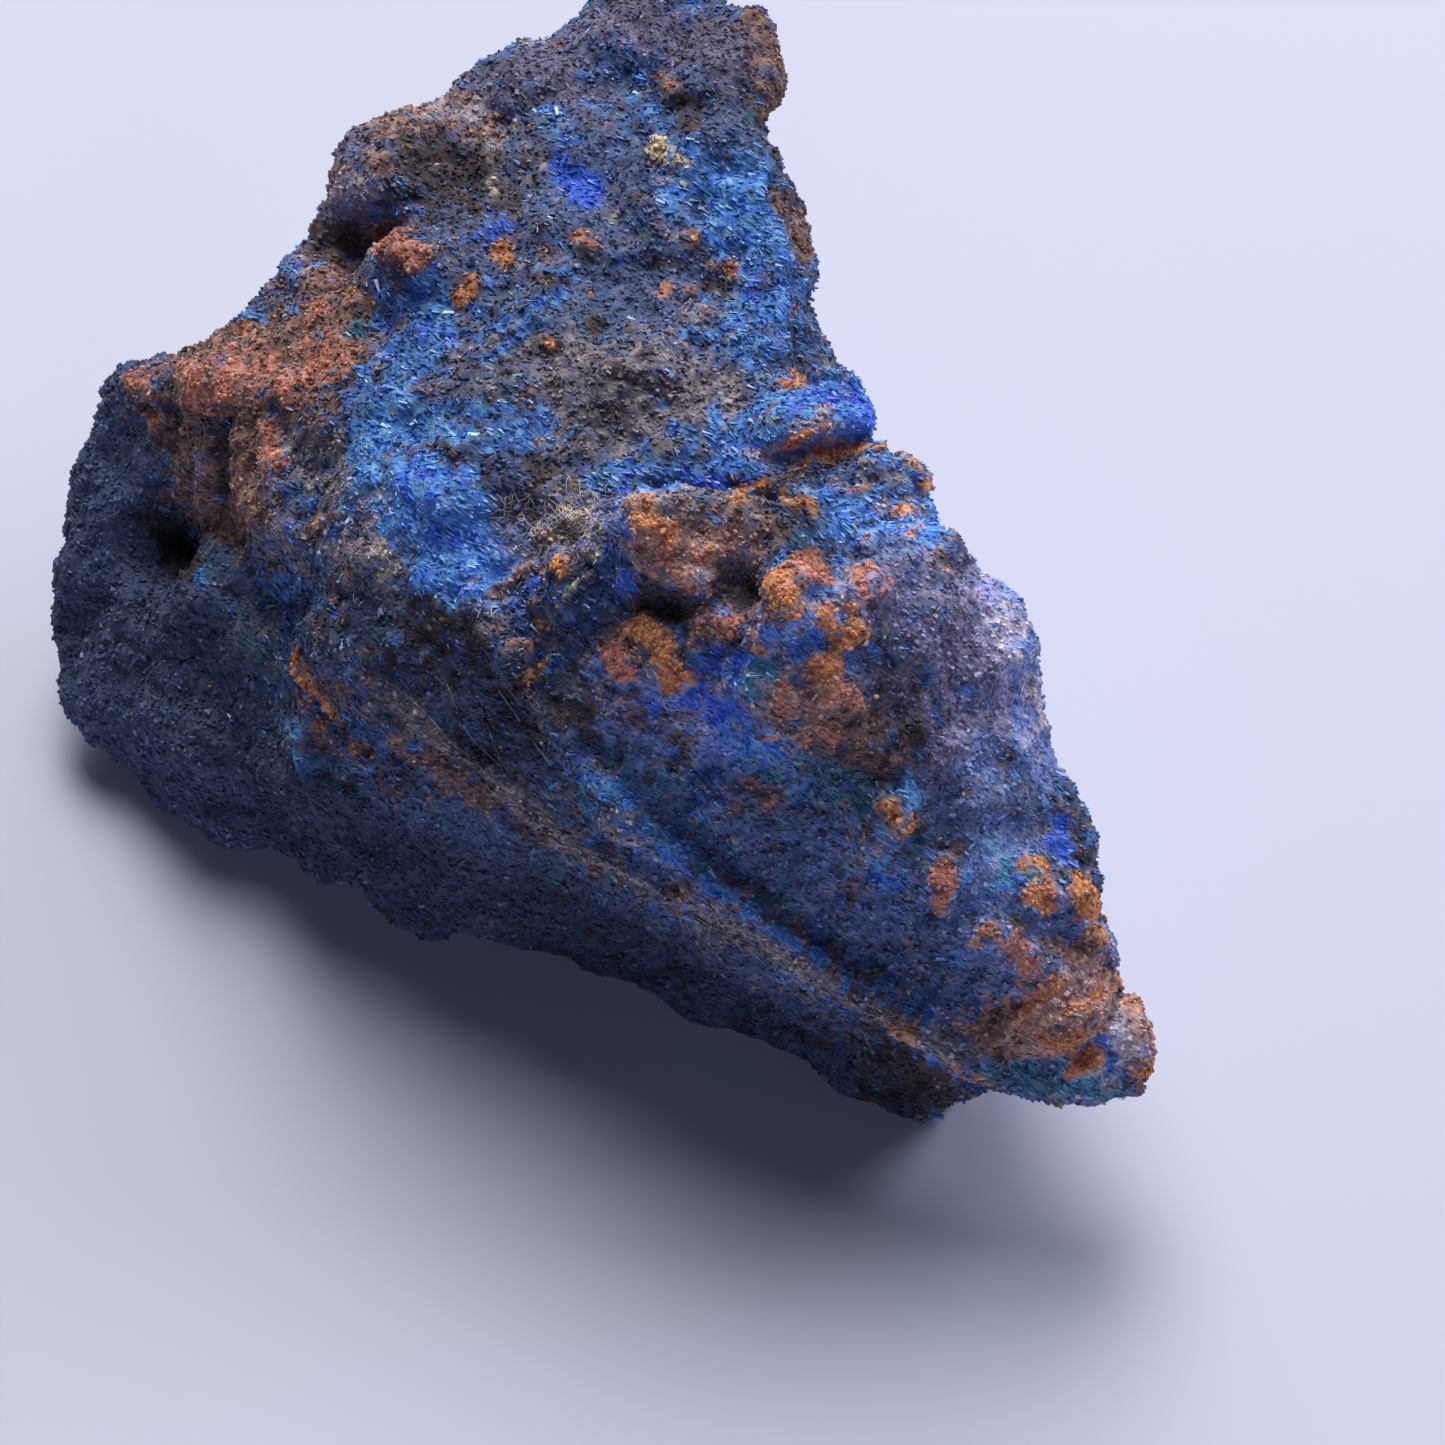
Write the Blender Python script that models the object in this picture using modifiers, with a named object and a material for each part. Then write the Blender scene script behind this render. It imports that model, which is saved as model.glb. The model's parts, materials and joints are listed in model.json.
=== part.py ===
"""An azurite specimen: one chunk of iron-stained rock with a fine blue azurite crust.

The chunk is a thick, roughly triangular slab that lies on its flattened base. Its broad top
face runs back to a peak. A high block rises at the front and narrows down to a low pointed
tip that overhangs the ground. A sharp ridge runs along the left side of that block, with a
steep dark flank under it. A low lobe stands out to the left, and thin bedded ledges show
where the block meets the top face on the right.

Everything grew together as one stone, so it is one solid. X runs to the right, Y away from
the front and Z up. The origin is under the middle of the stone, on the ground.
"""

import math

import bmesh
import bpy
import numpy as np
from mathutils import Matrix, Vector, noise

MM = 0.001

# Driving dimensions, in millimetres and degrees. The corners below give the stone its real
# size: about 24 across, 25 deep and 13 high.
FACE_RISE = 35.0
FACE_HEIGHT = 8.1

GRAIN_STEP = 0.26
SOFTENED_STEPS = 2
FEATURE_DEPTH = 2.2
CRUST_THICKNESS = 0.07
TRIANGLES = 9300
FLAT_BASE_TOLERANCE = 0.03

SWELL_SIZE, SWELL_HEIGHT = 4.6, 0.30
LUMP_SIZE, LUMP_HEIGHT = 2.1, 0.36
NODULE_SIZE, NODULE_HEIGHT = 1.5, 0.46
CHIP_SIZE, CHIP_HEIGHT = 3.1, 0.32

# The broad, crusted face of the stone is laid out in a plane that rises to the back by
# FACE_RISE, FACE_HEIGHT over the ground. A corner is (across, up the face, out of the face).
# Each mass is the smallest flat-sided block around its corners. They overlap and are fused.
FACE_MASSES = {
    "top_slab": [
        (-6.7, 4.6, -0.4), (-5.7, 4.6, -0.1), (-2.1, 5.1, -0.4), (0.6, 6.1, -0.9),
        (1.45, 8.0, -2.3), (1.15, 9.2, -3.2), (1.2, 12.3, -5.3), (1.2, 14.5, -6.6),
        (0.9, 15.8, -7.1), (-0.9, 17.3, -8.5), (-2.7, 15.7, -8.0), (-4.0, 15.1, -8.0),
        (-5.4, 14.5, -8.0), (-8.0, 5.1, -1.7), (-8.9, 6.2, -3.2), (-8.4, 8.4, -4.7),
        (-6.9, 10.1, -5.3),
        (-8.0, 4.0, -4.5), (-7.5, 8.5, -9.0), (-3.5, 12.0, -11.0), (-0.8, 15.0, -9.8),
        (0.4, 12.5, -9.0), (1.0, 6.0, -4.5), (0.0, 3.5, -3.0),
    ],
    "back_mound": [
        (-7.4, 13.8, -7.4), (-8.8, 12.8, -7.4), (-9.1, 11.3, -7.5), (-5.4, 14.5, -8.0),
        (-5.4, 11.5, -5.8), (-6.8, 11.0, -5.7), (-8.4, 11.1, -6.4), (-7.2, 12.9, -6.2),
        (-8.9, 9.9, -9.0), (-6.5, 11.0, -10.5), (-5.0, 9.4, -8.0), (-7.0, 9.0, -8.0),
    ],
    "shoulder": [
        (-10.3, 9.1, -7.0), (-9.9, 9.6, -7.0), (-9.5, 10.3, -7.1), (-8.8, 11.0, -7.4),
        (-8.4, 8.4, -4.8), (-8.9, 6.2, -3.3), (-10.6, 7.0, -6.0), (-9.9, 5.8, -4.8),
        (-8.3, 2.6, -2.4), (-7.4, 10.0, -6.4), (-9.0, 8.0, -9.5), (-10.6, 5.5, -8.0),
        (-7.0, 5.5, -6.0), (-9.6, 2.5, -5.0), (-7.0, 9.0, -8.0),
    ],
    "left_lobe": [
        (-11.7, 8.2, -7.8), (-13.6, 7.9, -8.3), (-14.1, 6.2, -8.8), (-15.0, 3.6, -9.1),
        (-15.6, 2.3, -9.0), (-15.3, 0.6, -8.8), (-14.4, -0.8, -8.8), (-12.4, -1.9, -8.6),
        (-10.6, 5.9, -6.0), (-9.4, 1.8, -4.7), (-8.9, -1.2, -4.8), (-11.4, 1.6, -6.9),
        (-8.4, -3.9, -6.9), (-10.3, 9.0, -7.4),
        (-12.6, 6.5, -9.8), (-10.5, 6.5, -9.8), (-13.4, 3.5, -10.8), (-12.0, 0.8, -11.0),
        (-8.0, 1.0, -4.6), (-8.0, 4.0, -4.6),
    ],
    "step_to_lobe": [
        (-8.9, 6.2, -3.5), (-8.0, 5.3, -1.9), (-8.0, 2.6, -2.2), (-9.2, 1.8, -4.3),
        (-9.9, 5.6, -5.0), (-9.5, 3.6, -4.6), (-7.0, 5.0, -4.0), (-7.0, 2.0, -4.0),
        (-9.0, 4.0, -6.0),
    ],
    "left_flank": [
        (-5.2, 2.5, 0.0), (-4.2, 0.9, 0.0), (-3.4, -0.4, 0.0), (-1.7, -2.0, 0.0),
        (-6.7, 1.7, -0.4), (-6.7, 0.5, -0.9), (-8.3, 1.7, -2.3), (-7.9, -0.8, -3.0),
        (-5.8, -2.7, -2.7), (-2.6, -4.2, -2.4), (-4.8, -4.7, -3.9), (-8.4, -3.9, -6.7),
        (-3.0, -5.2, -5.2), (-5.5, 3.8, -0.3), (-2.0, 2.4, -0.9), (-8.1, 4.0, -2.0),
        (-9.0, 2.0, -4.3), (-8.8, -1.2, -5.2),
    ],
    "right_flank": [
        (-1.7, -2.0, 0.0), (0.6, -3.9, 0.0), (3.1, -5.8, 0.0), (4.9, -6.8, 0.0),
        (-2.6, -4.2, -2.4), (0.2, -4.7, -2.8), (3.1, -6.8, -2.6), (4.4, -8.2, -3.4),
        (1.0, -5.2, -4.4), (-1.0, -1.0, -1.4), (3.0, -3.5, -1.6), (5.5, -5.5, -2.0),
    ],
    "valley_floor": [
        (-5.4, 2.6, -0.1), (-6.8, 1.8, -0.5), (-8.2, 2.6, -2.2), (-8.0, 5.1, -1.8),
        (-6.7, 4.6, -0.5), (-2.1, 5.1, -0.6), (0.8, 6.0, -1.1), (3.4, 5.3, -1.5),
        (4.4, 4.4, -1.5), (-3.3, 3.0, -0.2), (0.0, 3.6, -0.6), (3.4, 3.4, -0.8),
        (-5.0, 0.5, -3.5), (4.0, 1.0, -3.5), (-1.0, -0.5, -1.5),
    ],
    "front_block": [
        (-3.9, 2.7, 0.4), (-2.6, 1.6, 0.9), (-1.9, 2.4, 2.2), (0.8, 2.1, 3.7),
        (3.2, 2.0, 3.3), (4.9, 2.1, 2.1), (6.1, 2.1, 0.5), (-2.1, 4.3, 2.1),
        (-0.5, 4.5, 2.9), (1.6, 4.4, 2.9), (3.2, 4.1, 2.3), (4.7, 4.0, 0.9),
        (5.9, 2.9, 0.0), (0.2, -1.0, 1.5), (2.8, -1.4, 2.4), (5.3, -1.6, 2.0),
        (-1.5, 0.7, 1.4),
        (7.4, -1.8, 0.2), (6.7, 1.3, 0.0), (7.1, -0.8, 0.0), (8.0, -2.6, 0.0),
        (-1.2, -1.7, 0.2), (-3.0, 0.1, 0.2), (1.1, -3.6, 0.2), (3.5, -5.4, 0.2),
        (5.2, -6.3, 0.1), (4.9, -4.7, 1.1), (6.7, -4.9, 1.0), (8.8, -5.3, 0.0),
        (8.5, -4.3, 0.0), (-2.0, 3.6, -0.6), (0.0, 4.1, -0.6), (3.8, 3.9, -1.0),
        (5.0, -3.0, -3.0),
    ],
    "saddle_upper": [
        (-5.2, 2.5, -0.1), (-3.3, -0.3, 0.0), (-1.7, -2.0, 0.0), (-3.8, 2.8, 0.4),
        (-2.4, 0.8, 0.9), (-0.9, -1.0, 0.8), (0.4, -0.9, 1.4), (-1.4, 0.8, 1.3),
        (-2.0, 2.0, -2.0), (0.0, -1.0, -2.0),
    ],
    "saddle_lower": [
        (-1.7, -2.0, 0.0), (0.6, -3.9, 0.0), (3.1, -5.8, 0.0), (4.9, -6.8, 0.0),
        (-0.9, -1.0, 0.8), (1.4, -2.8, 0.9), (3.6, -4.8, 0.6), (5.3, -6.0, 0.3),
        (0.6, -1.0, 1.4), (0.0, -1.0, -2.0), (4.0, -4.5, -2.0),
    ],
    "ridge_upper": [
        (-5.4, 2.6, 0.2), (-4.2, 0.8, 0.45), (-3.3, -0.6, 0.5), (-3.8, 1.1, -0.1),
        (-2.9, -0.2, -0.1), (-4.0, 0.5, -1.0), (-3.2, -0.6, -1.0),
    ],
    "ridge_middle": [
        (-3.5, -0.4, 0.4), (-1.8, -2.2, 0.55), (0.6, -4.1, 0.5), (-1.4, -1.8, -0.1),
        (0.9, -3.6, -0.1), (-1.8, -2.1, -1.0), (0.4, -4.0, -1.0),
    ],
    "ridge_lower": [
        (0.5, -4.0, 0.5), (3.1, -6.0, 0.5), (5.0, -7.1, 0.35), (0.9, -3.6, -0.1),
        (3.4, -5.5, -0.1), (3.0, -5.9, -1.0), (4.8, -6.9, -1.0), (0.8, -4.1, -1.0),
    ],
    "tip": [
        (7.0, -7.8, 0.1), (9.0, -8.2, 0.1), (9.15, -6.7, 0.0), (8.9, -5.3, 0.0),
        (4.9, -6.8, 0.1), (6.7, -4.9, 1.0), (4.9, -4.9, 1.0), (7.8, -6.6, 0.6),
        (6.6, -8.2, -0.9), (8.5, -8.0, -0.8), (8.3, -7.0, -1.5), (5.0, -6.8, -2.2),
        (6.8, -5.6, -2.4),
    ],
    "tip_underside": [
        (5.4, -7.7, -1.2), (6.2, -8.5, -1.2), (7.2, -8.5, -0.9), (6.8, -7.6, -0.3),
        (5.2, -7.5, -2.6), (6.6, -7.5, -2.2), (5.0, -6.5, -1.5),
    ],
    "upper_bed": [
        (1.1, 7.1, -1.1), (2.7, 7.5, -1.3), (3.6, 6.6, -0.7), (3.7, 6.1, -0.5),
        (0.8, 5.9, -0.4), (1.3, 6.6, -2.4), (2.7, 7.0, -2.4), (3.6, 6.1, -1.7),
        (1.0, 5.3, -1.6),
    ],
    "middle_bed": [
        (-0.2, 5.4, -0.2), (3.0, 6.0, -0.9), (3.9, 5.95, -1.0), (4.0, 5.4, -0.9),
        (0.2, 4.8, -0.1), (3.2, 5.2, -0.6), (0.1, 4.8, -1.3), (4.0, 5.0, -1.8),
        (3.4, 4.6, -1.4),
    ],
    "lower_bed": [
        (3.5, 5.6, -0.3), (4.1, 6.05, -0.4), (4.45, 5.5, -0.3), (4.8, 4.5, 0.0),
        (3.2, 5.0, 0.0), (1.2, 4.7, 0.1), (2.6, 4.0, 0.5), (4.1, 5.0, -1.8),
        (4.5, 3.8, -1.2), (2.0, 4.0, -1.2),
    ],
}

# The body under the face stands on the ground. These corners are (right, back, up). The lowest
# lie under the ground, so that the cut on the ground plane leaves a flat place to rest on.
GROUND_MASSES = {
    "core": [
        (-12.4, 4.4, -0.4), (-8.4, 1.4, -0.4), (-3.8, -0.9, -0.4), (1.0, -2.4, -0.4), (4.2, -4.2, -0.4),
        (5.8, -3.0, -0.4), (5.2, 1.0, -0.4), (1.8, 6.5, -0.4), (0.5, 12.0, -0.4), (-0.6, 15.2, -0.4),
        (-4.5, 15.6, -0.4), (-9.0, 12.8, -0.4), (-12.4, 9.4, -0.4),
        (-11.6, 7.8, 3.8), (-8.6, 3.4, 5.6), (-5.0, 1.6, 7.6), (-1.5, -0.9, 5.8),
        (3.0, -3.6, 3.4), (6.2, -2.2, 4.8), (5.6, 1.4, 7.4), (1.2, 7.9, 9.2),
        (1.0, 15.2, 9.4), (-4.5, 15.6, 8.4), (-8.6, 13.0, 7.0),
    ],
    "foot": [
        (4.4, -4.8, -0.4), (3.2, -4.2, -0.4), (5.4, -3.9, -0.4), (5.3, -1.8, -0.4), (1.5, -2.8, -0.4),
        (4.9, -5.2, 3.6), (2.5, -4.2, 4.0), (0.5, -2.9, 3.8), (6.4, -3.6, 3.0),
        (6.4, -4.8, 3.2),
    ],
    "right_wall": [
        (1.4, 7.6, 9.8), (3.2, 5.7, 9.4), (4.4, 4.3, 9.6), (5.8, 2.3, 9.3),
        (6.7, 1.1, 8.5), (6.9, -0.6, 7.4), (7.8, -2.2, 6.3), (8.2, -3.6, 5.2),
        (5.4, 2.0, 2.4), (1.8, 6.9, 2.6), (6.1, -1.5, 2.0), (6.6, -3.4, 2.4),
        (0.0, 5.0, 3.0),
    ],
    "back_wall": [
        (0.7, 16.8, 11.0), (0.8, 15.4, 10.8), (0.8, 13.0, 10.4), (1.0, 9.2, 10.3),
        (1.3, 7.8, 10.1), (0.0, 15.0, 1.2), (0.6, 12.0, 1.0), (1.6, 7.4, 1.2),
        (-3.0, 8.0, 5.0), (-3.0, 14.8, 4.0), (-1.2, 17.0, 8.4),
    ],
}

# Single knobs, ribs and pits in the crust: where each starts and ends on the face, its radius,
# and its height out of the face. A pit's height is negative.
FEATURES = {
    "salmon_knob": ((-6.9, 10.1, -5.1), (-6.6, 10.0, -5.1), 0.9, 0.6),
    "hollow_under_mound": ((-8.1, 10.4, -6.7), (-7.3, 10.8, -6.4), 0.7, -0.35),
    "lobe_pit": ((-12.3, 3.8, -7.6), (-12.1, 4.3, -7.6), 0.85, -1.2),
    "lobe_knob_1": ((-12.6, 7.1, -7.8), (-12.2, 7.2, -7.8), 0.9, 0.45),
    "lobe_knob_2": ((-11.1, 7.5, -7.2), (-11.0, 7.6, -7.2), 0.9, 0.4),
    "lobe_knob_3": ((-10.2, 8.0, -6.8), (-9.8, 8.1, -6.8), 0.9, 0.4),
    "drip_1": ((-11.1, 6.9, -6.5), (-11.0, 4.9, -6.7), 0.5, 0.45),
    "drip_2": ((-10.2, 7.2, -5.9), (-10.1, 4.8, -5.7), 0.5, 0.5),
    "drip_3": ((-9.4, 7.0, -4.7), (-9.4, 4.3, -4.9), 0.5, 0.4),
    "pale_rib": ((-11.8, 4.3, -7.2), (-11.0, 2.6, -6.6), 0.45, 0.4),
    "rim_of_flank": ((-9.0, 1.8, -3.9), (-8.8, -1.0, -4.6), 0.5, 0.3),
    "bedding_groove": ((3.9, 6.05, -0.7), (0.2, 4.8, -0.3), 0.32, -0.6),
    "bedding_step": ((2.6, 6.4, -0.9), (0.9, 6.2, -0.7), 0.3, 0.25),
    "ridge_edge_1": ((-5.2, 2.5, 0.2), (-1.8, -2.15, 0.4), 0.28, 0.22),
    "ridge_edge_2": ((-1.8, -2.15, 0.4), (3.1, -5.95, 0.4), 0.28, 0.22),
    "crest_pit": ((0.4, 2.7, 3.8), (0.6, 2.8, 3.8), 0.7, -0.6),
    "small_crest_pit": ((-1.2, 2.4, 3.0), (-1.0, 2.4, 3.1), 0.55, -0.4),
    "crest_knob_1": ((-1.6, 3.9, 2.8), (-1.3, 3.9, 2.9), 0.6, 0.35),
    "crest_knob_2": ((1.2, 2.6, 3.9), (1.4, 2.5, 3.9), 0.7, 0.4),
    "crest_knob_3": ((2.9, 2.9, 3.3), (3.0, 2.9, 3.3), 0.6, 0.35),
    "long_knob": ((-1.6, 1.6, 2.4), (-1.2, 0.8, 2.2), 0.5, 0.35),
    "rust_knob_1": ((2.2, 1.2, 3.6), (2.4, 1.0, 3.5), 0.7, 0.4),
    "rust_knob_2": ((1.1, 0.5, 3.2), (1.3, 0.4, 3.2), 0.6, 0.35),
    "rust_knob_3": ((3.4, -1.9, 2.4), (3.7, -1.9, 2.3), 0.7, 0.4),
    "rust_knob_4": ((4.5, -3.3, 1.7), (4.7, -3.2, 1.7), 0.6, 0.35),
    "tip_knob_1": ((6.4, -5.1, 1.0), (6.7, -5.1, 1.0), 0.7, 0.35),
    "tip_knob_2": ((7.3, -6.1, 0.7), (7.6, -6.3, 0.6), 0.6, 0.35),
    "tip_dip": ((7.7, -7.0, 0.5), (8.1, -7.0, 0.4), 0.5, -0.3),
    "flank_knob": ((0.2, -4.7, -2.7), (0.5, -4.8, -2.7), 0.7, 0.5),
}

# Places where the crust is thin and the bedding or an edge shows: centre on the face, radius,
# and the share of the crust's roughness that is left there.
CALM_PLACES = {
    "bedding": ((2.8, 5.4, -0.6), 2.4, 0.25),
    "ridge_top": ((-3.4, 0.1, 0.3), 2.0, 0.3),
    "ridge_centre": ((-0.6, -3.1, 0.3), 2.2, 0.3),
    "ridge_foot": ((2.9, -5.8, 0.3), 2.2, 0.3),
    "tip": ((8.0, -7.2, 0.0), 1.8, 0.5),
}


LEAN = Matrix.Rotation(math.radians(FACE_RISE), 3, "X")
FACE_ORIGIN = Vector((0.0, 0.0, FACE_HEIGHT))
FLAT = Vector((1.0, 1.0, 0.0))


def clear_scene():
    for old in list(bpy.data.objects):
        bpy.data.objects.remove(old, do_unlink=True)


def collection_named(name):
    folder = bpy.data.collections.new(name)
    bpy.context.scene.collection.children.link(folder)
    return folder


def from_face(corner):
    """A point given on the leaning face, as (right, back, up) in millimetres."""
    return LEAN @ Vector(corner) + FACE_ORIGIN


def to_face(point):
    """A point given as (right, back, up), on the leaning face."""
    return LEAN.transposed() @ (point - FACE_ORIGIN)


def add_mass(bm, corners):
    """Adds one flat-sided block around its corners."""
    verts = [bm.verts.new(corner * MM) for corner in corners]
    made = bmesh.ops.convex_hull(bm, input=verts)
    inside = {v for v in made["geom_interior"] if isinstance(v, bmesh.types.BMVert)}
    bmesh.ops.delete(bm, geom=list(inside), context="VERTS")


def fuse(stone):
    """Turns overlapping or folded skin into one even, closed skin."""
    remesh = stone.modifiers.new("Fuse", "REMESH")
    remesh.mode = "VOXEL"
    remesh.voxel_size = GRAIN_STEP * MM


def fused_masses(collection):
    """All masses in one mesh, fused and then softened at their edges."""
    bm = bmesh.new()
    for corners in FACE_MASSES.values():
        add_mass(bm, [from_face(corner) for corner in corners])
    for corners in GROUND_MASSES.values():
        add_mass(bm, [Vector(corner) for corner in corners])
    bmesh.ops.recalc_face_normals(bm, faces=bm.faces)
    mesh = bpy.data.meshes.new("azurite_stone")
    bm.to_mesh(mesh)
    bm.free()
    stone = bpy.data.objects.new("azurite_stone", mesh)
    collection.objects.link(stone)
    fuse(stone)
    soften = stone.modifiers.new("Worn edges", "SMOOTH")
    soften.factor = 0.5
    soften.iterations = SOFTENED_STEPS
    bake_modifiers(stone)
    return stone


def bake_modifiers(thing):
    """Replaces the mesh by its modified result and drops the modifiers."""
    graph = bpy.context.evaluated_depsgraph_get()
    mesh = bpy.data.meshes.new_from_object(thing.evaluated_get(graph))
    old = thing.data
    thing.modifiers.clear()
    thing.data = mesh
    mesh.name = thing.name
    bpy.data.meshes.remove(old)


def crust_height(point):
    """Height of the rough crust at a point, in millimetres: swells, lumps, nodules, chips."""
    swell = noise.noise(point / SWELL_SIZE) * SWELL_HEIGHT
    lump = noise.fractal(point / LUMP_SIZE, 0.9, 2.1, 3) * LUMP_HEIGHT
    near, _ = noise.voronoi(point / NODULE_SIZE)
    nodule = (0.42 - near[0]) * NODULE_HEIGHT
    edge, _ = noise.voronoi(point / CHIP_SIZE + Vector((7.3, 2.1, 4.4)))
    chip = min(edge[1] - edge[0], 0.35) / 0.35 * CHIP_HEIGHT - 0.7 * CHIP_HEIGHT
    return swell + lump + nodule + chip


def distance_to_line(point, start, end):
    along = end - start
    share = (point - start).dot(along) / along.length_squared
    return (point - start - along * max(0.0, min(1.0, share))).length


def feature_height(point):
    """Height that the single knobs, ribs and pits add at a point, in millimetres.

    Each reaches as far as its radius along the face, and FEATURE_DEPTH in and out of it.
    """
    total = 0.0
    flat = Vector((point.x, point.y, 0.0))
    for start, end, radius, height in FEATURES.values():
        start, end = Vector(start), Vector(end)
        depth = abs(point.z - (start.z + end.z) / 2) / FEATURE_DEPTH
        aside = distance_to_line(flat, start * FLAT, end * FLAT) / (1.4 * radius)
        if aside < 1.0 and depth < 1.0:
            total += height * (0.5 + 0.5 * math.cos(math.pi * aside)) * (1.0 - depth ** 4)
    return total


def roughness_left(point):
    """Share of the crust's height that is left at a point, between 0 and 1."""
    share = 1.0
    for centre, radius, left in CALM_PLACES.values():
        reach = min(1.0, (point - Vector(centre)).length / radius)
        share = min(share, left + (1.0 - left) * reach ** 2)
    return share


def roughen(stone):
    """Moves every point of the skin along its normal by the crust's height."""
    mesh = stone.data
    mesh.update()
    normals = [v.normal.copy() for v in mesh.vertices]
    for vertex, normal in zip(mesh.vertices, normals):
        point = vertex.co / MM
        on_face = to_face(point)
        height = crust_height(point) * roughness_left(on_face) + feature_height(on_face)
        height += CRUST_THICKNESS
        vertex.co = vertex.co + normal * (height * MM)
    mesh.update()
    fuse(stone)
    bake_modifiers(stone)


def cut_base(stone, helpers):
    """Cuts the underside flat on the ground plane, where the stone rests."""
    bpy.ops.mesh.primitive_cube_add(size=1.0, location=(0.0, 0.0, -0.005))
    ground = bpy.context.object
    ground.name = "ground_cutter"
    ground.scale = (0.06, 0.06, 0.01)
    for owner in list(ground.users_collection):
        owner.objects.unlink(ground)
    helpers.objects.link(ground)
    ground.hide_render = True
    ground.display_type = "WIRE"
    cut = stone.modifiers.new("Flat base", "BOOLEAN")
    cut.operation = "DIFFERENCE"
    cut.solver = "EXACT"
    cut.object = ground
    bake_modifiers(stone)


def lighten(stone):
    """Keeps as few triangles as still show the crust."""
    mesh = stone.data
    mesh.calc_loop_triangles()
    thin = stone.modifiers.new("Fewer triangles", "DECIMATE")
    thin.ratio = TRIANGLES / len(mesh.loop_triangles)
    bake_modifiers(stone)
    for vertex in stone.data.vertices:
        if abs(vertex.co.z) < FLAT_BASE_TOLERANCE * MM:
            vertex.co.z = 0.0


def keep_largest(stone):
    """Drops any loose crumb, so that the stone is one body, and closes its skin."""
    bm = bmesh.new()
    bm.from_mesh(stone.data)
    bmesh.ops.remove_doubles(bm, verts=bm.verts, dist=0.00002)
    bmesh.ops.dissolve_degenerate(bm, edges=bm.edges, dist=0.00001)
    bmesh.ops.triangulate(bm, faces=bm.faces)
    left, bodies = set(bm.verts), []
    while left:
        body, todo = set(), [next(iter(left))]
        while todo:
            vertex = todo.pop()
            if vertex in body:
                continue
            body.add(vertex)
            todo += [edge.other_vert(vertex) for edge in vertex.link_edges]
        bodies.append(body)
        left -= body
    bodies.sort(key=len)
    for crumb in bodies[:-1]:
        bmesh.ops.delete(bm, geom=list(crumb), context="VERTS")
    if bm.calc_volume(signed=True) < 0.0:
        bmesh.ops.reverse_faces(bm, faces=bm.faces)
    bm.to_mesh(stone.data)
    bm.free()


def stand_on_origin(stone):
    """Puts the origin on the ground under the middle of the stone, and returns the shift."""
    mesh = stone.data
    points = np.empty(len(mesh.vertices) * 3)
    mesh.vertices.foreach_get("co", points)
    points = points.reshape(-1, 3)
    low, high = points.min(axis=0), points.max(axis=0)
    shift = np.array([-(low[0] + high[0]) / 2, -(low[1] + high[1]) / 2, 0.0])
    mesh.vertices.foreach_set("co", (points + shift).ravel())
    mesh.update()
    return shift


def azurite_crust():
    material = bpy.data.materials.new("azurite_crust")
    material.use_nodes = True
    shader = material.node_tree.nodes["Principled BSDF"]
    shader.inputs["Base Color"].default_value = (0.045, 0.075, 0.21, 1.0)
    shader.inputs["Roughness"].default_value = 0.78
    shader.inputs["Metallic"].default_value = 0.0
    return material


def build():
    clear_scene()
    parts = collection_named("azurite_specimen")
    helpers = collection_named("cutters")
    stone = fused_masses(parts)
    roughen(stone)
    cut_base(stone, helpers)
    lighten(stone)
    keep_largest(stone)
    shift = stand_on_origin(stone)
    stone.data.materials.clear()
    stone.data.materials.append(azurite_crust())
    return stone, shift


STONE, SHIFT = build()
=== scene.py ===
# %% [markdown]
# # A small azurite specimen
#
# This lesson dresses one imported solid, a chunk of rock 24 mm wide, as the mineral specimen
# that it stands for. Azurite is a blue copper carbonate. It grows on iron-stained rock as a
# crust of crystals no longer than a fifth of a millimetre, between crumbs of orange limonite
# and patches of bare brown rock. The eye knows it by its grain, so most of the work goes
# into real grains and crystals, and less into paint.

# %% Load the solid and keep its size
import json
import math

import bpy
import numpy as np
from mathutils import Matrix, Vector, noise
from mathutils.bvhtree import BVHTree

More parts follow.
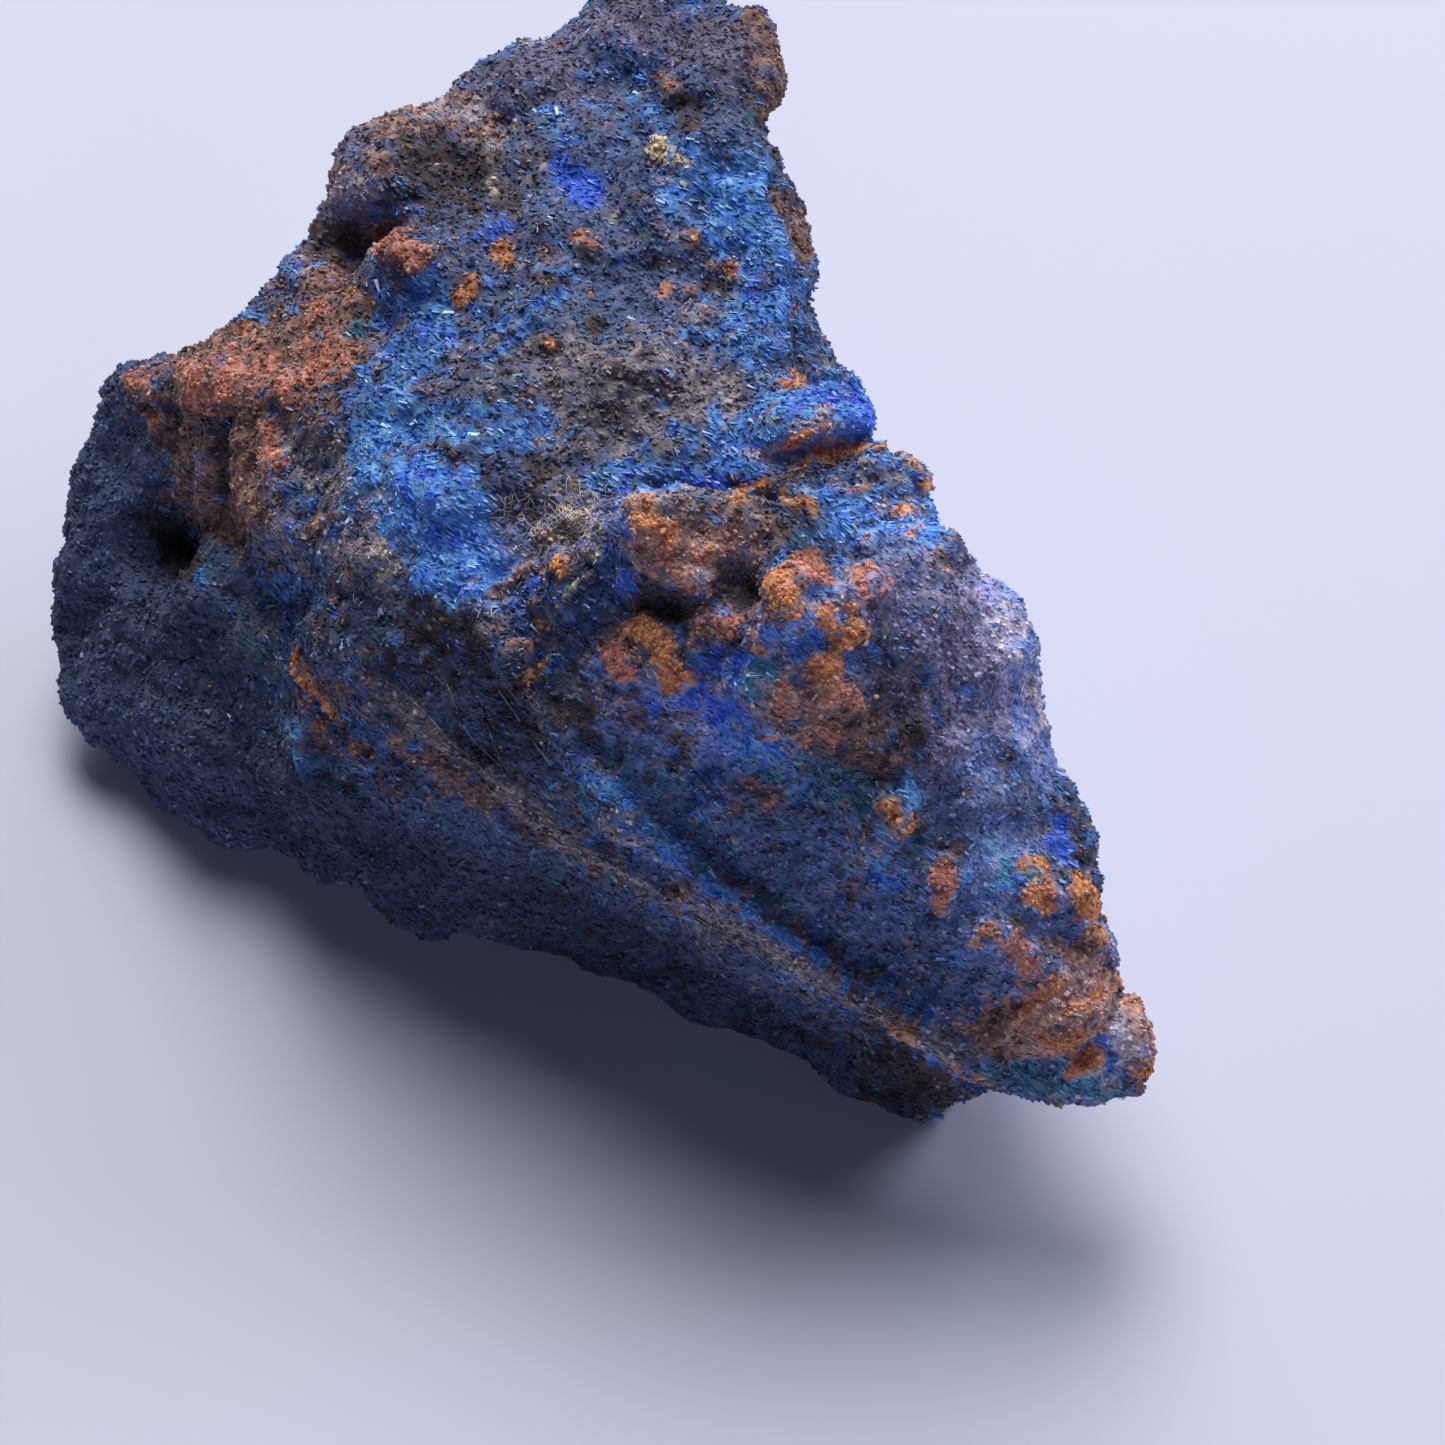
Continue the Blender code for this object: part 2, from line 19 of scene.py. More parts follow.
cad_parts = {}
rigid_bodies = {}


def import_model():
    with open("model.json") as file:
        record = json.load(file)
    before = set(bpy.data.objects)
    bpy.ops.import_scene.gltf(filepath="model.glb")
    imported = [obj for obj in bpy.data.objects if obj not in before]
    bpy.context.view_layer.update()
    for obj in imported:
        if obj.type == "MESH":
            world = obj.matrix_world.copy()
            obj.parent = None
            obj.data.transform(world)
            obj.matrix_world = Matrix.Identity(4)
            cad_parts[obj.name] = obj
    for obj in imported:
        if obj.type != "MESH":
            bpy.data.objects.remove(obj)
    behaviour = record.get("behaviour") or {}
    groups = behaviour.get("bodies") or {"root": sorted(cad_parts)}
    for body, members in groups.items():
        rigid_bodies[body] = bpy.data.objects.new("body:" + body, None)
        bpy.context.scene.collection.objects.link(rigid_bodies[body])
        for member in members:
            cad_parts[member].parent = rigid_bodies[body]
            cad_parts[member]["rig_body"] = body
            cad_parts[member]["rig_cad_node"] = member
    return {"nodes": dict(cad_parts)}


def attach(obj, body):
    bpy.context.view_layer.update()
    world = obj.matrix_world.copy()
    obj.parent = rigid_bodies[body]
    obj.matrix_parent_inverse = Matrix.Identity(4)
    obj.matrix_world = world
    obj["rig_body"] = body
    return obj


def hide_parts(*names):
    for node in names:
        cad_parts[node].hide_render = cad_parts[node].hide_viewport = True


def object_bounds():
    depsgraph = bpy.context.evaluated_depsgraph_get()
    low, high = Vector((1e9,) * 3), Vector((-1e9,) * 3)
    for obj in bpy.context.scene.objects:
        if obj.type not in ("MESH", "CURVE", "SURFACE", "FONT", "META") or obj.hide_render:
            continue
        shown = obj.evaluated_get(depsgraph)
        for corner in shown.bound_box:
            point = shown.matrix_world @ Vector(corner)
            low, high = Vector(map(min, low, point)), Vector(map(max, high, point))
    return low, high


MM = 0.001
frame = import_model()
CAD_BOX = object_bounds()
stone_node = frame["nodes"]["azurite_stone"]
print("solid stone:", [round(side / MM, 2) for side in CAD_BOX[1] - CAD_BOX[0]], "mm")

# %% [markdown]
# ## Where things are named from
#
# The stone is drawn from one side, so the marks on it are named by where they fall in that
# view. The view is described once, as a point that it looks at, a distance and a height of
# the eye. A place in it is counted across and down in steps, 1445 to each side. One function
# turns points on the stone into such places. A camera object could tell the same, but plain
# numbers can be used on a hundred thousand points at a time.

# %% The view
VIEW_POINT = np.array([2.993, -6.231, 8.10])
VIEW_DISTANCE = 130.0
VIEW_HEIGHT_DEGREES = 55.0
VIEW_WIDTH = 30.0
VIEW_STEPS = 1445
STEP = VIEW_WIDTH / VIEW_STEPS
MIDDLE = VIEW_STEPS / 2

_tilt = math.radians(VIEW_HEIGHT_DEGREES)
TO_EYE = np.array([0.0, -math.cos(_tilt), math.sin(_tilt)])
VIEW_UP = np.array([0.0, math.sin(_tilt), math.cos(_tilt)])
VIEW_RIGHT = np.array([1.0, 0.0, 0.0])
EYE = VIEW_POINT + VIEW_DISTANCE * TO_EYE


def view_place(points):
    """Steps across and steps down in the view, for points in mm."""
    away = points - VIEW_POINT
    grow = VIEW_DISTANCE / (VIEW_DISTANCE - away @ TO_EYE)
    across = MIDDLE + away @ VIEW_RIGHT * grow / STEP
    down = MIDDLE - away @ VIEW_UP * grow / STEP
    return across, down


print("eye at", EYE.round(1), "mm")

# %% [markdown]
# ## Camera, floor and light
#
# Small specimens are shot from close by with a long lens, so the camera is a 156 mm lens at
# 130 mm. The floor is one pale sheet. The light comes from a row of large soft windows behind
# the stone, with a smaller one at its side. They stand far off, so the floor gets the same
# light all over, and they are wide, so the shadow ends softly. A bright sky all round would
# wash the shadow out, so a low white card in front lights the near faces instead: it reaches
# upright faces well, and the floor hardly at all. A low view looks past the end of the floor,
# so the camera sees a plain pale wall there, which lights nothing.

# %% Camera
SENSOR_MM = 36.0
camera_data = bpy.data.cameras.new("camera")
camera_data.sensor_width = SENSOR_MM
camera_data.lens = SENSOR_MM * VIEW_DISTANCE / VIEW_WIDTH
camera_data.clip_start = 0.001
camera_data.clip_end = 10.0
camera = bpy.data.objects.new("camera", camera_data)
camera.location = EYE * MM
camera.rotation_euler = (math.radians(90.0 - VIEW_HEIGHT_DEGREES), 0.0, 0.0)
bpy.context.scene.collection.objects.link(camera)
bpy.context.scene.camera = camera
bpy.context.scene.view_settings.view_transform = "Standard"
print("lens", camera_data.lens, "mm")


# %% Colours and nodes
def linear(code, alpha=1.0):
    """An sRGB colour like '#1F3FA8' as linear numbers."""
    parts = [int(code[i:i + 2], 16) / 255 for i in (1, 3, 5)]
    return [c / 12.92 if c <= 0.04045 else ((c + 0.055) / 1.055) ** 2.4 for c in parts] + [alpha]


def add_node(tree, kind, settings=None, links=None, **values):
    """Adds a node. settings are its own properties, values its sockets by name, and links
    says which output of another node feeds which socket."""
    node = tree.nodes.new(kind)
    for key, value in (settings or {}).items():
        setattr(node, key, value)
    for key, value in values.items():
        node.inputs[key.replace("_", " ")].default_value = value
    for socket, output in (links or {}).items():
        tree.links.new(output, node.inputs[socket])
    return node


def new_material(name):
    material = bpy.data.materials.new(name)
    material.use_nodes = True
    material.node_tree.nodes.clear()
    return material, material.node_tree


def select_only(thing):
    """Operators act on all that is selected, so nothing else may be."""
    bpy.ops.object.select_all(action="DESELECT")
    thing.hide_set(False)
    thing.select_set(True)
    bpy.context.view_layer.objects.active = thing


# %% Floor
FLOOR_SIDE = 0.9
bpy.ops.object.select_all(action="DESELECT")
bpy.ops.mesh.primitive_plane_add(size=FLOOR_SIDE, location=(0.0, 0.0, 0.0))
floor = bpy.context.object
floor.name = "floor"

paper, tree = new_material("matt_board")
shader = add_node(tree, "ShaderNodeBsdfPrincipled", Base_Color=linear("#D9DAEC"), Roughness=0.9)
shader.inputs["Specular IOR Level"].default_value = 0.2
add_node(tree, "ShaderNodeOutputMaterial", links={"Surface": shader.outputs[0]})
floor.data.materials.append(paper)
print("floor", FLOOR_SIDE, "m")

# %% Light
# Each light is its place and its width in mm, its watts and its colour.
SOFT_LIGHTS = {
    "high_window": ((-28.0, 293.0, 405.0), 320.0, 1.45, "#F3F6FF"),
    "middle_window": ((26.0, 371.0, 335.0), 320.0, 0.68, "#FFFAF0"),
    "low_window": ((-52.0, 368.0, 335.0), 320.0, 0.94, "#FFFAF0"),
    "side_window": ((375.0, 216.0, 250.0), 240.0, 1.02, "#E8EFFF"),
    "white_card": ((124.0, -464.0, 138.0), 300.0, 0.39, "#CCDAFF"),
}
FILL_STRENGTH = 0.016   # what the dim sky gives to the stone
WALL_STRENGTH = 0.78    # what a low view sees beyond the floor

for name, (place, width, watts, colour) in SOFT_LIGHTS.items():
    soft_light = bpy.data.lights.new(name, "AREA")
    soft_light.shape = "DISK"
    soft_light.size = width * MM
    soft_light.energy = watts
    soft_light.color = linear(colour)[:3]
    holder = bpy.data.objects.new(name, soft_light)
    holder.location = Vector(place) * MM
    holder.rotation_euler = (-Vector(place)).to_track_quat("-Z", "Y").to_euler()
    bpy.context.scene.collection.objects.link(holder)

sky = bpy.context.scene.world or bpy.data.worlds.new("sky")
bpy.context.scene.world = sky
sky.use_nodes = True
sky.node_tree.nodes.clear()
glow = add_node(sky.node_tree, "ShaderNodeBackground", Color=linear("#E4E6FF"),
                Strength=FILL_STRENGTH)
wall = add_node(sky.node_tree, "ShaderNodeBackground", Color=linear("#D6D8E8"),
                Strength=WALL_STRENGTH)
ray = add_node(sky.node_tree, "ShaderNodeLightPath")
both = add_node(sky.node_tree, "ShaderNodeMixShader",
                links={0: ray.outputs["Is Camera Ray"], 1: glow.outputs[0], 2: wall.outputs[0]})
add_node(sky.node_tree, "ShaderNodeOutputWorld", links={"Surface": both.outputs[0]})
print(len(SOFT_LIGHTS), "soft lights, a dim sky and a pale wall")

# %% [markdown]
# ## The skin of the stone
#
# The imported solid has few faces, about half a millimetre each, as a part in a library
# should. Its skin here is a copy with a face every 0.13 mm, so that pits, nodules and bedding
# can be real relief. Subdividing would keep the long thin triangles and their facets. A voxel
# remesh lays an even net over the same form, and a smooth takes off the facets and the steps
# of the net.

# %% Copy and remesh the solid
SKIN_STEP = 0.133
SMOOTH_SHARE, SMOOTH_ROUNDS = 0.5, 7
WELD_GAP = 0.001

select_only(stone_node)
bpy.ops.object.duplicate()
skin = bpy.context.object
skin.name = "azurite_stone_skin"
skin.parent = None
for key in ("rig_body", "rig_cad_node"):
    if key in skin:
        del skin[key]
select_only(skin)
bpy.ops.object.mode_set(mode="EDIT")
bpy.ops.mesh.select_all(action="SELECT")
bpy.ops.mesh.remove_doubles(threshold=WELD_GAP * MM)
bpy.ops.object.mode_set(mode="OBJECT")

net = skin.modifiers.new("Even net", "REMESH")
net.mode = "VOXEL"
net.voxel_size = SKIN_STEP * MM
bpy.ops.object.modifier_apply(modifier=net.name)
soft = skin.modifiers.new("Soften facets", "SMOOTH")
soft.factor = SMOOTH_SHARE
soft.iterations = SMOOTH_ROUNDS
bpy.ops.object.modifier_apply(modifier=soft.name)
print("skin:", len(skin.data.polygons), "faces,", len(skin.data.vertices), "points")


# %% Points as arrays
def points_of(mesh):
    found = np.empty(len(mesh.vertices) * 3)
    mesh.vertices.foreach_get("co", found)
    return found.reshape(-1, 3) / MM


def normals_of(mesh):
    found = np.empty(len(mesh.vertices) * 3)
    mesh.vertices.foreach_get("normal", found)
    return found.reshape(-1, 3)


def put_points(mesh, points):
    mesh.vertices.foreach_set("co", (points * MM).ravel())
    mesh.update()


def unit(vectors):
    return vectors / np.maximum(np.linalg.norm(vectors, axis=-1, keepdims=True), 1e-12)


def smoothstep(low, high, value):
    share = np.clip((value - low) / (high - low), 0.0, 1.0)
    return share * share * (3.0 - 2.0 * share)


base_points = points_of(skin.data)
base_normals = normals_of(skin.data)
across, down = view_place(base_points)

# %% Which points face the eye
SEEN_LIFT = 0.35

tree_of_skin = BVHTree.FromObject(skin, bpy.context.evaluated_depsgraph_get())
seen = np.zeros(len(base_points))
eye = Vector(EYE * MM)
for i, (point, normal) in enumerate(zip(base_points, base_normals)):
    start = Vector((point + normal * SEEN_LIFT) * MM)
    hit = tree_of_skin.ray_cast(start, (eye - start).normalized())
    seen[i] = 1.0 if hit[0] is None else 0.0
print("share of the skin that the view sees:", round(float(seen.mean()), 2))

# %% [markdown]
# ## Which mineral is where
#
# On the real stone the minerals lie in patches with ragged borders, and each patch holds
# strays of its neighbours. So every point gets one score for each mineral: a start value, a
# cloudy noise, and what the named patches around it add. The highest score wins, and grains
# that are set later draw from the same scores by lot. The patches are strokes, given by the
# places they run through and a half width, all in view steps. The sides that the view can't
# see have the same minerals from the noise alone.

# %% The minerals
MINERALS = ["rock", "russet", "umber", "slate", "plum", "navy", "royal", "azure", "sky", "teal",
            "rust", "salmon", "cream"]
PATCHES = {}
print(len(MINERALS), "minerals")

# %% Pale, powdery azurite
PATCHES["sky"] = {
    "valley_heart": ([(440, 530), (448, 556)], 22, 0.45),
    "valley_corner": ([(458, 574), (474, 563), (487, 555)], 15, 0.85),
    "valley_upper": ([(418, 492), (440, 500)], 20, 0.35),
    "left_band_foot": ([(368, 470), (366, 440), (384, 420)], 22, 0.85),
    "left_band_across": ([(384, 424), (430, 428), (470, 432)], 14, 0.6),
    "left_band_top": ([(380, 418), (400, 396)], 16, 0.6),
    # cyan_glint is a painted glint, set as pale azurite
    "cyan_glint": ([(428, 352), (436, 344)], 12, 0.8),
    "left_edge_cyan": ([(392, 378), (380, 396)], 12, 0.6),
    "upper_streak": ([(740, 170), (728, 196), (718, 222)], 24, 0.95),
    "upper_streak_side": ([(748, 214), (768, 230)], 18, 0.5),
    "pale_lumps": ([(489, 329), (549, 318)], 13, 0.4),
    "crest_pale": ([(820, 528), (850, 531)], 12, 0.6),
    "ridge_streak": ([(586, 790), (606, 812), (620, 822)], 8, 0.4),
    "block_pale": ([(900, 784), (912, 792)], 15, 0.8),
    "valley_low": ([(486, 463), (494, 458)], 12, 0.4),
    "tip_blue": ([(1112, 1043), (1106, 1052)], 9, 0.4),
    "rim_pale": ([(1012, 650), (1028, 720), (1034, 760)], 13, 0.22),
}
print(len(PATCHES["sky"]), "patches of sky")

# %% Strong blue azurite
PATCHES["royal"] = {
    "upper_spot": ([(572, 176), (582, 186)], 22, 1.2),
    "block_patch": ([(670, 704), (700, 700), (726, 716)], 22, 0.62),
    "block_patch_low": ([(716, 720), (730, 742)], 18, 0.45),
    "block_upper": ([(716, 662), (740, 668)], 18, 0.6),
    "slab": ([(800, 400), (830, 392), (870, 412)], 24, 0.75),
    "ribbon": ([(690, 478), (730, 484), (750, 476)], 11, 0.8),
    "ribbon_left": ([(596, 488), (640, 482)], 9, 0.6),
    "valley_edge": ([(622, 575), (612, 592)], 16, 0.6),
    "valley_spots": ([(410, 490), (440, 484)], 18, 0.7),
    "valley_low_spots": ([(430, 586), (456, 590)], 12, 0.7),
    "valley_mid_spot": ([(470, 520), (480, 530)], 14, 0.6),
    "valley_deep": ([(440, 536), (466, 548)], 16, 0.85),
    "valley_deep_2": ([(430, 566), (450, 574)], 12, 0.6),
    "upper_band": ([(484, 238), (496, 224)], 14, 0.7),
    "right_spot": ([(756, 284), (760, 262)], 18, 0.6),
    "left_slope": ([(391, 350), (398, 320), (430, 326)], 22, 0.6),
    "flank_spot": ([(441, 811), (448, 806)], 12, 0.6),
    "tip_spot": ([(1012, 1076), (1030, 1082)], 12, 0.4),
    "tip_dot": ([(1108, 1040), (1112, 1048)], 8, 0.6),
    "rim_spot": ([(1058, 832), (1066, 848)], 15, 0.8),
    "rim_spot_2": ([(1046, 806), (1052, 816)], 11, 0.4),
    "ring": ([(522, 600), (536, 586)], 11, 0.7),
}
print(len(PATCHES["royal"]), "patches of royal")

# %% Plain azurite
PATCHES["azure"] = {
    "valley": ([(430, 500), (450, 540), (460, 560)], 44, 0.8),
    "left_band": ([(372, 478), (372, 420), (400, 350)], 34, 0.45),
    "middle_band": ([(420, 425), (540, 430)], 22, 0.45),
    "upper_left": ([(400, 320), (430, 306)], 26, 0.45),
    "upper_middle": ([(500, 330), (560, 310)], 20, 0.2),
    "upper_right": ([(700, 180), (750, 230), (770, 290)], 40, 0.55),
    "upper_band": ([(590, 130), (650, 110), (680, 140)], 26, 0.35),
    "right_slope": ([(690, 345), (760, 350)], 18, 0.3),
    "shelf": ([(726, 440), (790, 430), (850, 400)], 36, 0.6),
    "shelf_left": ([(640, 470), (720, 460), (760, 440)], 18, 0.45),
    "wedge": ([(880, 452), (905, 480), (925, 505)], 28, 0.5),
    "under_bedding": ([(820, 500), (860, 520), (930, 530)], 24, 0.5),
    "block_front": ([(700, 660), (760, 650), (790, 640)], 24, 0.25),
    "block_low": ([(740, 745), (790, 770)], 24, 0.35),
    "ridge_long_streak": ([(566, 742), (590, 772), (640, 816), (676, 852)], 12, 0.5),
    "edge_streak": ([(700, 880), (750, 912), (800, 950), (860, 995)], 8, 0.5),
    "tip_field": ([(1000, 1076), (1060, 1094), (1110, 1102)], 9, 0.2),
    "flank_edge": ([(286, 700), (290, 725), (303, 757), (309, 790)], 8, 0.4),
    "valley_left": ([(290, 590), (310, 600)], 22, 0.4),
    "block_specks": ([(785, 552), (787, 566)], 11, 0.7),
    "block_gap": ([(770, 630), (800, 650)], 12, 0.3),
    "mid_right": ([(596, 486), (632, 490), (690, 480)], 14, 0.5),
    "near_tip": ([(960, 970), (1000, 960)], 14, 0.4),
    "low_spots": ([(876, 868), (890, 880)], 12, 0.4),
}
print(len(PATCHES["azure"]), "patches of azure")

# %% Deep azurite
PATCHES["navy"] = {
    "peak_spot": ([(616, 60), (636, 66)], 26, 0.7),
    "middle_spot": ([(692, 218), (700, 200)], 15, 0.4),
    "upper_right_low": ([(740, 130), (720, 150)], 18, 0.5),
    "valley_edge": ([(618, 530), (608, 560), (600, 590)], 16, 0.7),
    "ring": ([(528, 588), (522, 629), (540, 660)], 20, 0.4),
    "ring_right": ([(590, 590), (580, 640)], 16, 0.4),
    "block_low": ([(690, 760), (700, 790)], 24, 0.5),
    "valley_wall": ([(400, 610), (440, 640), (490, 700), (535, 740)], 26, 0.15),
    "valley_wall_2": ([(500, 660), (530, 710)], 18, 0.25),
    "flank_patch": ([(352, 716), (372, 728)], 14, 0.5),
    "lobe_foot": ([(280, 600), (296, 640)], 24, 0.4),
    "near_tip": ([(930, 1000), (960, 1006)], 18, 0.35),
    "edge_dark": ([(860, 940), (900, 970)], 16, 0.4),
}
print(len(PATCHES["navy"]), "patches of navy")

# %% Azurite that turns to malachite
PATCHES["teal"] = {
    "left_corner": ([(356, 330), (368, 322)], 14, 0.8),
    "left_lumps": ([(360, 430), (352, 470)], 12, 0.4),
    "block_field": ([(620, 780), (700, 820), (800, 870)], 50, 0.42),
    "block_middle": ([(780, 760), (840, 800)], 36, 0.42),
    "block_gap": ([(752, 690), (764, 670)], 16, 0.5),
    "under_slab": ([(800, 455), (850, 445), (880, 432)], 8, 0.4),
    "wedge_end": ([(900, 440), (916, 462)], 13, 0.45),
    "flank": ([(300, 760), (430, 850), (600, 920)], 46, 0.4),
    "lobe_rib": ([(215, 560), (220, 600)], 20, 0.5),
    "tip": ([(1000, 1066), (1050, 1076), (1110, 1088)], 17, 0.85),
    "tip_right": ([(1004, 870), (1010, 884)], 14, 0.6),
    "right_low": ([(930, 830), (1000, 860)], 36, 0.4),
    "upper_low": ([(560, 340), (600, 320)], 16, 0.4),
    "lobe_low": ([(250, 600), (270, 700)], 30, 0.35),
}
print(len(PATCHES["teal"]), "patches of teal")

# %% Orange limonite
PATCHES["rust"] = {
    "lobe_edge": ([(222, 342), (250, 330)], 12, 0.7),
    "lobe_saddle": ([(318, 345), (340, 330), (352, 300)], 18, 0.7),
    "lobe_spot": ([(150, 418), (156, 424)], 11, 0.9),
    "top_spot_1": ([(502, 252), (506, 262)], 11, 1.1),
    "top_spot_2": ([(472, 286), (460, 300)], 9, 1.1),
    "top_spot_3": ([(547, 343), (551, 346)], 8, 0.9),
    "top_spot_4": ([(547, 290), (551, 287)], 8, 0.7),
    "right_spots": ([(662, 298), (668, 290)], 10, 1.0),
    "right_spot_2": ([(688, 290), (692, 295)], 8, 0.9),
    "right_spot_3": ([(682, 308), (686, 314)], 8, 0.7),
    "right_spot_4": ([(720, 264), (728, 272)], 12, 0.9),
    "right_spot_5": ([(782, 309), (784, 313)], 9, 0.9),
    "right_spot_6": ([(691, 236), (696, 240)], 10, 0.8),
    "left_spots": ([(584, 238), (592, 244)], 10, 0.7),
    "peak_spot": ([(672, 86), (676, 92)], 9, 0.7),
    "slab_end": ([(786, 382), (796, 384)], 11, 1.1),
    "slab_arc": ([(790, 449), (800, 437), (824, 426)], 6, 1.3),
    "slab_arc_2": ([(726, 454), (742, 451)], 4, 1.0),
    "slab_dot": ([(822, 416), (826, 413)], 6, 1.1),
    "bedding_1": ([(800, 468), (822, 460), (860, 452), (886, 445)], 7, 1.2),
    "bedding_2": ([(790, 484), (810, 478), (824, 470)], 6, 1.0),
    "bedding_patch": ([(738, 503), (750, 492), (762, 488)], 12, 1.25),
    "wedge_line": ([(831, 487), (850, 492), (868, 489)], 4, 1.0),
    "wedge_arc": ([(902, 458), (916, 470), (928, 489)], 4, 0.9),
    "wedge_spot": ([(880, 512), (900, 510), (912, 516)], 7, 1.0),
    "wedge_spot_2": ([(872, 536), (862, 546)], 8, 0.8),
    "wedge_arc_2": ([(900, 540), (912, 536), (924, 527)], 4, 0.8),
    "crest_knob_left": ([(640, 508), (650, 522), (666, 532)], 14, 1.2),
    "crest_knob_mid": ([(792, 496), (806, 502)], 14, 1.0),
    "block_knob_1": ([(684, 580), (702, 584)], 14, 0.9),
    "block_knob_2": ([(709, 556), (714, 562)], 12, 0.7),
    "block_knob_3": ([(778, 586), (784, 602)], 16, 1.15),
    "block_knob_4": ([(826, 616), (846, 612), (854, 634)], 15, 1.1),
    "block_knob_5": ([(818, 672), (832, 664)], 15, 1.2),
    "block_knob_low": ([(770, 640), (762, 652)], 10, 0.6),
    "long_knob": ([(644, 628), (656, 648), (676, 678)], 15, 1.15),
    "small_knob": ([(862, 538), (868, 543)], 9, 0.9),
    "ring_edge": ([(538, 602), (542, 623), (532, 648), (516, 644)], 7, 0.8),
    "rim_spot": ([(560, 570), (566, 573)], 9, 1.2),
    "ring_foot": ([(536, 676), (553, 667)], 10, 0.8),
    "block_spot_low": ([(890, 808), (902, 822)], 14, 0.8),
    "block_spot_low_2": ([(862, 800), (870, 808)], 12, 0.5),
    "tip_knob_1": ([(1020, 860), (1036, 866)], 12, 1.0),
    "tip_knob_2": ([(1030, 898), (1048, 902)], 14, 1.15),
    "tip_knob_3": ([(1082, 890), (1088, 924)], 15, 1.15),
    "tip_knob_4": ([(1078, 960), (1084, 970)], 12, 0.9),
    "tip_field_1": ([(1028, 1018), (1056, 1004), (1092, 990)], 24, 1.0),
    "tip_field_2": ([(1056, 1036), (1076, 1038)], 14, 0.8),
    "tip_field_3": ([(1070, 1070), (1096, 1058)], 9, 1.0),
    "tip_side": ([(1128, 1004), (1142, 1034), (1142, 1070)], 10, 1.0),
    "tip_line": ([(970, 934), (984, 928)], 10, 0.9),
    "tip_bottom": ([(1060, 1108), (1100, 1112)], 6, 0.7),
    "edge_line_1": ([(632, 862), (664, 884), (682, 898)], 8, 0.5),
    "edge_line_2": ([(895, 1016), (925, 1032)], 6, 1.0),
    "edge_line_3": ([(944, 1046), (1000, 1075)], 5, 0.7),
    "flank_stroke_1": ([(292, 653), (310, 682), (328, 702), (343, 717)], 7, 0.75),
    "flank_stroke_2": ([(351, 739), (364, 760)], 8, 0.6),
    "flank_stroke_3": ([(298, 706), (322, 727)], 7, 0.55),
    "flank_stroke_4": ([(384, 722), (420, 750), (454, 776)], 7, 0.5),
    "flank_spot": ([(268, 790), (272, 800)], 18, 0.5),
    "under_tip": ([(966, 1094), (978, 1098)], 8, 0.7),
    "valley_specks": ([(307, 527), (340, 509)], 5, 0.6),
}
print(len(PATCHES["rust"]), "patches of rust")

# %% Pale red limonite
PATCHES["salmon"] = {
    "lobe_field": ([(200, 385), (250, 370), (300, 370), (330, 360)], 28, 1.1),
    "lobe_knob_1": ([(138, 378), (150, 390)], 18, 0.9),
    "lobe_low": ([(300, 400), (320, 420)], 16, 0.5),
    "column_spot": ([(268, 430), (272, 460)], 12, 1.1),
    "column_strokes": ([(240, 404), (238, 440)], 9, 0.7),
    "lobe_red": ([(220, 372), (240, 388)], 16, 0.6),
    "saddle_knob": ([(392, 246), (412, 256)], 18, 1.2),
    "saddle_strokes": ([(310, 320), (330, 306)], 12, 0.8),
    "dark_red": ([(386, 224), (398, 230)], 14, 0.5),
    "right_speck": ([(744, 158), (747, 161)], 8, 0.7),
    "pink_specks": ([(608, 255), (614, 258)], 7, 0.5),
    "block_red": ([(804, 562), (816, 572)], 15, 1.1),
    "block_salmon": ([(864, 578), (872, 588)], 14, 1.05),
    "block_pink": ([(704, 632), (730, 626)], 14, 1.0),
    "block_field": ([(660, 560), (690, 568), (706, 570)], 18, 0.6),
    "block_low_1": ([(780, 696), (784, 712)], 15, 0.9),
    "block_knob_6": ([(836, 698), (848, 702)], 16, 1.15),
    "block_low_2": ([(806, 734), (825, 740), (857, 736)], 18, 0.75),
    "block_low_3": ([(870, 744), (905, 756)], 16, 0.5),
    "left_knob": ([(618, 658), (628, 668)], 16, 1.15),
    "left_low": ([(624, 700), (634, 712)], 11, 0.5),
    "tip_column": ([(946, 862), (940, 906)], 11, 1.0),
    "tip_streak": ([(1010, 940), (1026, 960)], 16, 1.0),
    "tip_middle": ([(990, 940), (1000, 950)], 12, 0.6),
    "tip_low": ([(1016, 1028), (1044, 1046)], 18, 0.9),
    "low_lumps": ([(850, 880), (866, 890)], 10, 0.5),
    "low_lumps_2": ([(810, 905), (826, 915)], 10, 0.5),
}
print(len(PATCHES["salmon"]), "patches of salmon")

# %% Clay
PATCHES["cream"] = {
    "top_line": ([(484, 156), (489, 172), (493, 190)], 9, 1.1),
    "upper_speck": ([(656, 149), (670, 156), (686, 166)], 11, 1.2),
    "slab_edge": ([(808, 377), (828, 371), (845, 372), (862, 384)], 5, 1.0),
    "left_specks": ([(379, 361), (381, 363)], 9, 0.9),
    "left_speck_2": ([(376, 336), (372, 342)], 9, 0.8),
    "pebble_1": ([(596, 555), (599, 560)], 9, 1.0),
    "pebble_2": ([(586, 578), (572, 592)], 6, 0.9),
    "pebble_3": ([(564, 602), (562, 610)], 6, 0.8),
    "ring_olive": ([(536, 640), (526, 652)], 8, 0.62),
    "tangle_floor": ([(540, 540), (580, 528), (606, 520)], 15, 0.42),
    "tan_patch": ([(362, 548), (382, 560), (388, 580)], 15, 0.78),
    "tip_crust": ([(1074, 1068), (1104, 1072)], 8, 0.85),
    "tip_knob": ([(1038, 884), (1044, 890)], 9, 0.8),
    "upper_specks": ([(642, 176), (622, 196)], 8, 0.5),
    "right_specks": ([(711, 243), (735, 251)], 7, 0.5),
    "low_spot": ([(740, 160), (744, 172)], 7, 0.5),
}
print(len(PATCHES["cream"]), "patches of cream")

